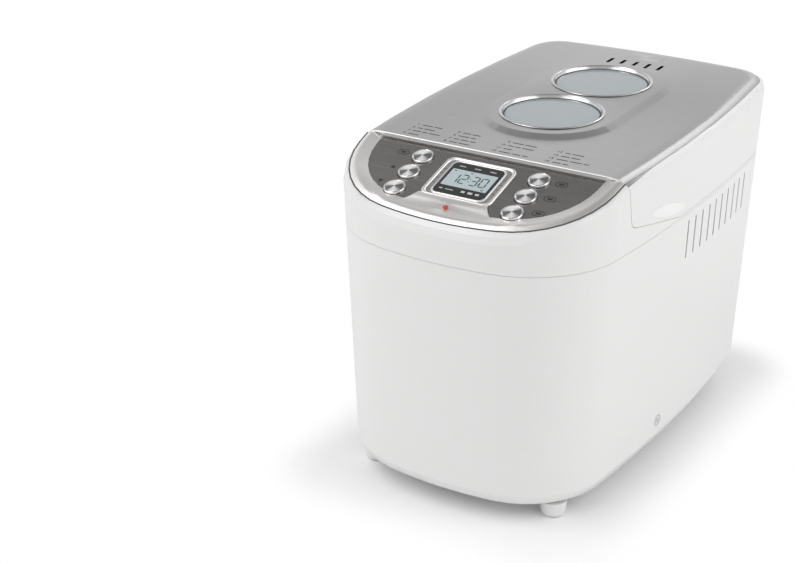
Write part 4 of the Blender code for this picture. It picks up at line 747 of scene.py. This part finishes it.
LONG, STEP = 2.35, 2.6
SEGMENTS = {  # a digit's segments as (across, up, lying)
    "top": (0, 2, True), "middle": (0, 0, True), "bottom": (0, -2, True), "upper_left": (-1, 1, False),
    "upper_right": (1, 1, False), "lower_left": (-1, -1, False), "lower_right": (1, -1, False),
}
DIGITS = {
    "1": ("upper_right", "lower_right"),
    "2": ("top", "upper_right", "middle", "lower_left", "bottom"),
    "3": ("top", "upper_right", "middle", "lower_right", "bottom"),
    "0": ("top", "upper_left", "upper_right", "lower_left", "lower_right", "bottom"),
}
bar = mark(LONG, 0.5, 0.49, 1)
digits = []
for across, digit in ((-12.2, "1"), (-4.9, "2"), (4.6, "3"), (12.2, "0")):
    for segment in DIGITS[digit]:
        x, y, lying = SEGMENTS[segment]
        digits.append(on_panel(bar, across + x * STEP, 32.6 - y * STEP, 0 if lying else 90))
dot = mark(0.5, 0.5, 0.2, 2)
digits += [on_panel(dot, 0.0, 32.6 + side) for side in (-1.8, 1.8)]
arrow = mark(1.0, 0.5, 0.45, 2)
digits += [on_panel(arrow, across, down) for across, down in ((-16.0, 24.2), (-2.0, 24.2), (15.2, 41.0))]
digits = joined("display_digits", digits)
finish_piece(digits, "display_digits", display_ink, "housing")

pale = [on_panel(mark(2.6, 0.45), across, 18.0) for across in (-13.5, -0.5, 12.5)]
pale += [on_panel(mark(1.4, 0.6), -16.2, 47.2), on_panel(mark(2.0, 1.2, 0.6), 8.6, 47.0)]
pale += [on_panel(mark(1.6, 1.1, 0.5), across, 47.0) for across in (2.6, 14.6)]
pale += [on_panel(mark(3.4, 0.35), -9.0, 47.4)]
pale = joined("display_legends", pale)
finish_piece(pale, "display_legends", pale_ink, "housing")
scrap_marks()
print("digits", len(digits.data.polygons), "faces, legends", len(pale.data.polygons))

# %% [markdown]
# ## Marks printed on the panel
#
# Each button has a small sign beside it. The choosing buttons on the left have a framed sign and
# two arrows, those on the right have framed loaves. They are dark ink: plates a few hundredths of
# a millimetre thick, so they sit on the brushed steel and still catch the light as ink does.

# %% Signs beside the buttons
INK = {"low": -0.05, "high": 0.06}


def framed(half_x, half_y, corner, line):
    """An outlined rounded rectangle: a plate whose middle is inset and taken away."""
    piece = plate("mark", half_x, half_y, corner)
    in_edit(
        piece,
        lambda: bpy.ops.mesh.inset(thickness=line / 1000, depth=0),
        lambda: bpy.ops.mesh.delete(type="FACE"),
        lambda: bpy.ops.mesh.select_all(action="SELECT"),
    )
    return thicken(piece, INK["low"], INK["high"])


frame_mark = framed(4.9, 3.1, 3.0, 0.6)
loaf = mark(1.9, 0.55, 0.3, 3, **INK)
crust = mark(2.4, 0.5, 0.45, 4, **INK)
bpy.ops.object.select_all(action="DESELECT")
bpy.ops.mesh.primitive_circle_add(vertices=3, radius=0.0027, fill_type="NGON")
arrow = thicken(start("mark"), INK["low"], INK["high"])
signs = [on_panel(frame_mark, -68.5, 14.5), on_panel(loaf, -68.5, 15.0), on_panel(crust, -68.5, 13.9)]
signs += [on_panel(arrow, -66.0, 34.3), on_panel(arrow, -66.0, 52.6, 180)]
for down in (14.5, 33.2, 51.6):
    signs += [on_panel(frame_mark, 67.5, down), on_panel(loaf, 67.5, down + 0.5)]
    signs += [on_panel(crust, 67.5, down - 0.6)]
tick = mark(1.3, 0.25, low=TRAY_FLOOR - 0.05, high=TRAY_FLOOR + 0.05)
for across in (-25.3, 25.3):
    signs += [on_panel(tick, across, down) for down in (24.0, 30.0, 36.0, 42.0)]
signs = joined("panel_signs", signs)
finish_piece(signs, "panel_signs", print_ink, "housing")
scrap_marks()
print("panel signs", len(signs.data.polygons), "faces")

# %% [markdown]
# ## Programme list on the lid
#
# The lid carries a printed list of sixteen programmes in four columns. Here each line is its
# number and plain strokes in place of words. The numbers are text turned into mesh and given a
# thickness, and the strokes are one plate, copied at a few lengths.

# %% Programme list
COLUMNS = (-83.0, -46.0, -2.0, 43.0)  # left edges, and below the rows, in millimetres
ROW_STEP, FIRST_ROW = 7.2, 27.5
strokes = {length: mark(length / 2, 0.62, **INK) for length in (4.5, 7.0, 9.5)}
RUNS = (
    (9.5, 7.0), (4.5, 9.5), (7.0, 4.5, 9.5), (9.5,),
    (7.0, 7.0), (9.5, 4.5), (4.5, 7.0, 4.5), (7.0, 9.5),
    (9.5, 9.5), (4.5, 4.5, 9.5), (7.0,), (9.5, 7.0, 4.5),
    (4.5, 9.5), (7.0, 7.0), (9.5, 9.5, 4.5), (7.0, 4.5),
)
FIGURE_SIZE = 0.0044
FIGURE_END, STROKE_START, STROKE_GAP = 3.5, 6.0, 1.6


def on_lid(piece, across, back):
    return copy_to(piece, "line", lid.matrix(across / 1000, back / 1000))


lines = []
for number, run in enumerate(RUNS):
    left, back = COLUMNS[number // 4], FIRST_ROW - ROW_STEP * (number % 4)
    bpy.ops.object.select_all(action="DESELECT")
    bpy.ops.object.text_add()
    figure = bpy.context.active_object
    figure.data.body = str(number + 1)
    figure.data.size = FIGURE_SIZE
    figure.data.align_x = "RIGHT"
    figure.data.resolution_u = 3
    bpy.ops.object.convert(target="MESH")
    figure.name = "mark"
    thicken(figure, INK["low"], INK["high"])
    lines.append(on_lid(figure, left + FIGURE_END, back - 1.2))
    reach = left + STROKE_START
    for length in run:
        lines.append(on_lid(strokes[length], reach + length / 2, back))
        reach += length + STROKE_GAP
lines = joined("programme_list", lines)
finish_piece(lines, "programme_list", print_ink, "lid")
scrap_marks()
print("programme list", len(lines.data.polygons), "faces")

# %% [markdown]
# Behind the vents a shallow rectangle is pressed into the steel. It catches a little more light than
# the sheet round it, so a thin plate in a lighter brushed colour stands for it: a painted highlight.

# %% Pressed patch behind the vents
patch = thicken(plate("patch_pattern", 15.5, 8.5, 2.0), -0.05, 0.12)
patch.matrix_world = lid.matrix(0.0, 0.2755)
finish_piece(patch, "lid_rear_patch", patch_painted_highlight, "lid")

# %% [markdown]
# ## Painted highlight and painted shade on the big pressings
#
# The panel's rolled edge is the same sheet as its flat, but it catches the light and reads much
# brighter, so its faces get a much lighter colour: a painted highlight. It stands up to two
# millimetres above the flat, so the height of its faces picks them out. The walls of the lid's vent
# slots are coloured black, a painted shade for the dark inside the slots, and are picked by their
# place and by facing sideways. A second material on some faces keeps both sheets whole.

# %% Vents and rolled edge
VENT_ROW_HALF = 0.034
VENTS_FROM, VENTS_TO = 0.236, 0.270  # back from the seam
VENT_DEPTH = 0.012
for name in ("lid_shell", "lid_plate"):
    skins[name].data.materials.append(black_plastic)
    for face in skins[name].data.polygons:
        spot = face.center - lid.origin
        back, height = spot.dot(lid.up), spot.dot(lid.normal)
        in_row = abs(spot.x) < VENT_ROW_HALF and VENTS_FROM < back < VENTS_TO
        # vent walls coloured black: a painted shade for the dark inside the slots
        if in_row and height > -VENT_DEPTH and abs(face.normal.dot(lid.normal)) < 0.7:
            face.material_index = 1
skins["control_panel"].data.materials.append(painted_highlight_steel)
rolled = 0
for face in skins["control_panel"].data.polygons:
    rise = (face.center - panel.origin).dot(panel.normal)
    slope = face.normal.dot(panel.normal)
    # faces of the rolled edge get the painted highlight colour
    if abs(rise) > 0.0001 and slope > 0.05:
        face.material_index = 1
        rolled += 1
print("rolled faces", rolled)

# %% [markdown]
# ## Seams, scoop and small fittings
#
# Two fine lines frame the steel. The lid's front edge is folded over and shines along the seam; a thin
# bead in a light colour stands for that shine, a painted highlight. A thin dark strip round the outside
# of the panel stands for the shadow in the gap there, a painted shadow. Each is taken from the sheet it
# trims: the edge or the wall is picked by its normal, copied off, and given a thickness.

# %% Copying off faces or edges
def keep_only(piece, kind, keep):
    """Deletes every face, or every edge, of a copy that fails a test of its place and normals."""
    select_only(piece)
    bpy.ops.object.mode_set(mode="EDIT")
    bpy.ops.mesh.select_mode(type=kind)
    bpy.ops.mesh.select_all(action="DESELECT")
    mesh = bmesh.from_edit_mesh(piece.data)
    for item in mesh.faces if kind == "FACE" else mesh.edges:
        item.select_set(not keep(item))
    bmesh.update_edit_mesh(piece.data)
    bpy.ops.mesh.delete(type=kind)
    bpy.ops.mesh.select_mode(type="VERT")
    bpy.ops.object.mode_set(mode="OBJECT")


# %% [markdown]
# The bead follows one edge of the lid's sheet. The edge is kept, made a curve, and given a round
# section, which is quicker and truer than bending a rod along the sheet's curve.

# %% Bead along the seam
def on_front_edge(edge):
    normals = [face.normal for face in edge.link_faces]
    folded = len(normals) == 2 and min(n.y for n in normals) < -0.9 and max(n.z for n in normals) > 0.5
    return folded and edge.verts[0].co.y < seam_y + 0.01


bead = copy_to(skins["lid_plate"], "bead_pattern", Matrix())
keep_only(bead, "EDGE", on_front_edge)
select_only(bead)
bpy.ops.object.convert(target="CURVE")
bead.data.bevel_depth = 0.0008
bead.data.bevel_resolution = 3
bead.data.use_fill_caps = True
bpy.ops.object.convert(target="MESH")
bead = bpy.context.active_object
bead.matrix_world = Matrix.Translation((0, -0.0001, -0.0006))
finish_piece(bead, "lid_front_bead", painted_highlight_edge, "lid", 60)

# %% [markdown]
# A dark strip stands for the shadow in the gap between the panel and the white shoulder: a painted
# shadow. The panel's outer wall is copied off, moved up by a fifth of a millimetre so that its rim
# shows, and thickened outwards.

# %% Painted shadow round the panel
SIDE_WALL, FRONT_WALL = 0.062, 0.0725  # the outer wall lies past these, across and down the panel


def outer_wall(face):
    spot = face.calc_center_median() - panel.origin
    upright = abs(face.normal.dot(panel.normal)) < 0.35 and face.normal.dot(panel.up) < 0.8
    return upright and (abs(spot.x) > SIDE_WALL or spot.dot(panel.up) < -FRONT_WALL)


def grown(piece, thickness):
    wall = piece.modifiers.new("wall", "SOLIDIFY")
    wall.thickness = thickness
    wall.offset = 1.0
    select_only(piece)
    bpy.ops.object.modifier_apply(modifier="wall")


# this dark strip is a painted shadow: its colour stands for the shadow in the gap round the panel
gap_shadow = copy_to(skins["control_panel"], "seal_pattern", Matrix.Translation(panel.normal * 0.00018))
keep_only(gap_shadow, "FACE", outer_wall)
grown(gap_shadow, 0.0009)
finish_piece(gap_shadow, "panel_seal", gland_rubber, "housing", 60)
print("bead", len(bead.data.polygons), "faces, seal", len(gap_shadow.data.polygons))

# %% [markdown]
# The lid is lifted by a shallow finger scoop pressed into each side, just above its lower edge. A
# fine grid is drawn together at its ends to the scoop's outline, and wrapped onto the side so that
# it follows the bulge. Cutting it out of the shell would need a much finer shell. The grid is a
# lighter white than the shell, a painted highlight for the light that the scoop's hollow catches.

# %% Finger scoops
SCOOP = (-0.039, 0.2264)  # along the machine and up
SCOOP_TILT = math.radians(-12)
COLUMNS_EACH_WAY = 24


def lens_sheet(name, half_long, half_high):
    """A fine grid whose columns are drawn together towards both ends."""
    bpy.ops.object.select_all(action="DESELECT")
    bpy.ops.mesh.primitive_grid_add(x_subdivisions=2 * COLUMNS_EACH_WAY, y_subdivisions=6, size=2.0)
    piece = start(name)
    select_only(piece)
    bpy.ops.object.mode_set(mode="EDIT")
    for column in range(-COLUMNS_EACH_WAY, COLUMNS_EACH_WAY + 1):
        along = column / COLUMNS_EACH_WAY
        pick(piece, lambda spot: abs(spot.x - along) < 0.01)
        bpy.ops.transform.resize(value=(1, max(1 - along**2, 0.01) ** 0.5, 1))
    bpy.ops.object.mode_set(mode="OBJECT")
    piece.scale = (half_long, half_high, 1)
    settle(piece)
    return piece


for side in (1, -1):
    scoop = lens_sheet("scoop_pattern", 0.030, 0.0052)
    facing = Matrix(((0, 0, 1), (1, 0, 0), (0, 1, 0))).to_4x4()
    tilted = Matrix.Rotation(SCOOP_TILT, 4, "X") @ facing
    scoop.matrix_world = Matrix.Translation((side * 0.13, *SCOOP)) @ tilted
    settle(scoop)
    wrap = scoop.modifiers.new("wrap", "SHRINKWRAP")
    wrap.target = node["lid_shell"]
    wrap.wrap_method = "PROJECT"
    wrap.use_project_x = True
    wrap.use_negative_direction = side > 0
    wrap.use_positive_direction = side < 0
    wrap.offset = 0.00015
    select_only(scoop)
    bpy.ops.object.modifier_apply(modifier="wrap")
    if side < 0:
        in_edit(scoop, lambda: bpy.ops.mesh.flip_normals())
    name = "scoop_right" if side > 0 else "scoop_left"
    finish_piece(scoop, name, scoop_painted_highlight, "lid", 60)
print("scoop", [round(v * 1000, 1) for v in scoop.dimensions], "mm")

# %% [markdown]
# Low on the right side is a small round plug over a screw. It is turned, and a ray cast at the
# housing finds the place and the slope of the wall that it sits in.

# %% Screw plug
PLUG_OUTLINE = (
    (5.2, -1.5), (5.2, 0.1), (4.9, 0.4), (4.2, 0.45), (3.9, 0.2), (3.7, -0.3), (2.6, -0.3), (2.4, 0.1),
    (2.0, 0.3), (0.3, 0.35),
)
PLUG = (-0.0224, 0.0367)
plug = turned_piece("plug_pattern", PLUG_OUTLINE, 40)
_, spot, outward, _ = skins["lower_housing"].ray_cast((0.2, *PLUG), (-1, 0, 0))
plug.matrix_world = Matrix.Translation(spot) @ outward.to_track_quat("Z", "Y").to_matrix().to_4x4()
finish_piece(plug, "screw_plug", plug_grey, "housing")
print("plug at", [round(v * 1000, 1) for v in spot])

# %% [markdown]
# ## Room, camera and light
#
# The camera looks down on the front right corner from about a metre and a third away, through a
# fairly long lens, so the sides converge only a little.

# %% Camera
camera = bpy.data.objects.new("camera", bpy.data.cameras.new("camera"))
bpy.context.scene.collection.objects.link(camera)
camera.location = (0.5663, -1.1246, 0.6707)
camera.rotation_euler = (math.radians(66.461), 0.0, math.radians(32.571))
camera.data.lens = 73.71
camera.data.sensor_width = 36.0
bpy.context.scene.camera = camera


# %% [markdown]
# The world does three jobs. Matt surfaces get even light from all round. Mirrors see a room that is
# bright at the horizon and darker overhead, which gives steel its shape. The camera sees white.

# %% World
SKY = ((0.0, 1.0), (0.39, 0.95), (0.743, 0.45), (0.848, 0.36), (1.0, 0.34))  # (height, brightness)


def studio_world():
    """Even light for matt surfaces, and a sky that darkens upwards for gloss to mirror."""
    world = bpy.data.worlds.new("studio")
    bpy.context.scene.world = world
    world.use_nodes = True
    tree = world.node_tree
    even = tree.nodes["Background"]
    even.inputs["Color"].default_value = (1.0, 1.0, 1.0, 1.0)
    even.inputs["Strength"].default_value = 0.55
    place = tree.nodes.new("ShaderNodeTexCoord")
    split = tree.nodes.new("ShaderNodeSeparateXYZ")
    ramp = tree.nodes.new("ShaderNodeValToRGB")
    stops = ramp.color_ramp.elements
    for height, shade in SKY[1:-1]:
        stops.new(height)
    for stop, (height, shade) in zip(stops, SKY):
        stop.position = height
        stop.color = (shade, shade, shade, 1.0)
    mirrored = tree.nodes.new("ShaderNodeBackground")
    seen = tree.nodes.new("ShaderNodeBackground")
    seen.inputs["Color"].default_value = (1.0, 1.0, 1.0, 1.0)
    ray = tree.nodes.new("ShaderNodeLightPath")
    glossy = tree.nodes.new("ShaderNodeMixShader")
    straight = tree.nodes.new("ShaderNodeMixShader")
    either = tree.nodes.new("ShaderNodeMath")
    either.operation = "MAXIMUM"
    tree.links.new(place.outputs["Generated"], split.inputs["Vector"])
    tree.links.new(split.outputs["Z"], ramp.inputs["Fac"])
    tree.links.new(ramp.outputs["Color"], mirrored.inputs["Color"])
    tree.links.new(ray.outputs["Is Glossy Ray"], either.inputs[0])
    tree.links.new(ray.outputs["Is Transmission Ray"], either.inputs[1])
    tree.links.new(either.outputs["Value"], glossy.inputs["Fac"])
    tree.links.new(even.outputs["Background"], glossy.inputs[1])
    tree.links.new(mirrored.outputs["Background"], glossy.inputs[2])
    tree.links.new(ray.outputs["Is Camera Ray"], straight.inputs["Fac"])
    tree.links.new(glossy.outputs["Shader"], straight.inputs[1])
    tree.links.new(seen.outputs["Background"], straight.inputs[2])
    tree.links.new(straight.outputs["Shader"], tree.nodes["World Output"].inputs["Surface"])


studio_world()

# %% [markdown]
# The floor keeps the soft shadow close round the machine. Further out it glows white for the camera
# alone, so it runs into the background without an edge, and that glow lights nothing.

# %% Floor
FOOTPRINT = (0.090, 0.165, 0.0)  # half width and half depth of the part that stands over the floor
SHADOW_FROM, SHADOW_TO = 0.025, 0.075  # the shadow fades out between these distances from it


def studio_floor():
    """A white floor that keeps the shadow near the machine and runs out into the white room."""
    bpy.ops.object.select_all(action="DESELECT")
    bpy.ops.mesh.primitive_plane_add(size=12.0, location=(0, 0, -0.0002))
    floor = bpy.context.active_object
    floor.name = "floor"
    look, tree, shader = new_look("floor_white", (0.98, 0.98, 0.98), 0.8)
    shader.inputs["Specular IOR Level"].default_value = 0.1
    glow = tree.nodes.new("ShaderNodeEmission")
    place = tree.nodes.new("ShaderNodeTexCoord")
    spot = place.outputs["Object"]
    for operation, value in (("ABSOLUTE", None), ("SUBTRACT", FOOTPRINT), ("MAXIMUM", (0, 0, 0))):
        step = tree.nodes.new("ShaderNodeVectorMath")
        step.operation = operation
        if value:
            step.inputs[1].default_value = value
        tree.links.new(spot, step.inputs[0])
        spot = step.outputs["Vector"]
    reach = tree.nodes.new("ShaderNodeVectorMath")
    reach.operation = "LENGTH"
    fade = tree.nodes.new("ShaderNodeMapRange")
    fade.interpolation_type = "SMOOTHSTEP"
    fade.inputs["From Min"].default_value = SHADOW_FROM
    fade.inputs["From Max"].default_value = SHADOW_TO
    ray = tree.nodes.new("ShaderNodeLightPath")
    share = tree.nodes.new("ShaderNodeMath")
    share.operation = "MULTIPLY"
    mix = tree.nodes.new("ShaderNodeMixShader")
    tree.links.new(spot, reach.inputs[0])
    tree.links.new(reach.outputs["Value"], fade.inputs["Value"])
    tree.links.new(fade.outputs["Result"], share.inputs[0])
    tree.links.new(ray.outputs["Is Camera Ray"], share.inputs[1])
    tree.links.new(share.outputs["Value"], mix.inputs["Fac"])
    tree.links.new(shader.outputs["BSDF"], mix.inputs[1])
    tree.links.new(glow.outputs["Emission"], mix.inputs[2])
    tree.links.new(mix.outputs["Shader"], tree.nodes["Material Output"].inputs["Surface"])
    floor.data.materials.append(look)


studio_floor()

# %% [markdown]
# Two large soft boxes light the white sides evenly. A small one picks out the panel, and one far
# behind gives the lid's right edge its bright line. Large and dim beats small and strong here: the
# white plastic must not burn out.

# %% Lamps
def softbox(name, place, aim, size, power):
    lamp = bpy.data.objects.new(name, bpy.data.lights.new(name, "AREA"))
    bpy.context.scene.collection.objects.link(lamp)
    lamp.location = place
    lamp.rotation_euler = (Vector(aim) - Vector(place)).to_track_quat("-Z", "Y").to_euler()
    lamp.data.shape = "RECTANGLE"
    lamp.data.size, lamp.data.size_y = size
    lamp.data.energy = power


softbox("key", (-1.2, -1.5, 1.5), (0, 0, 0.15), (2.4, 1.8), 17.5)
softbox("fill", (2.0, 0.35, 1.2), (0, 0, 0.15), (2.2, 2.0), 20.0)
softbox("rear_glint", (0.2, 1.9, 1.6), (0, 0, 0.27), (0.9, 0.5), 3.5)
softbox("panel_light", (-0.57, -0.39, 1.29), (0.0, -0.17, 0.22), (0.5, 0.35), 1.8)

# %% [markdown]
# ## View transform
#
# The scene's view transform is set to Standard.

# %% View transform
bpy.context.scene.view_settings.view_transform = "Standard"
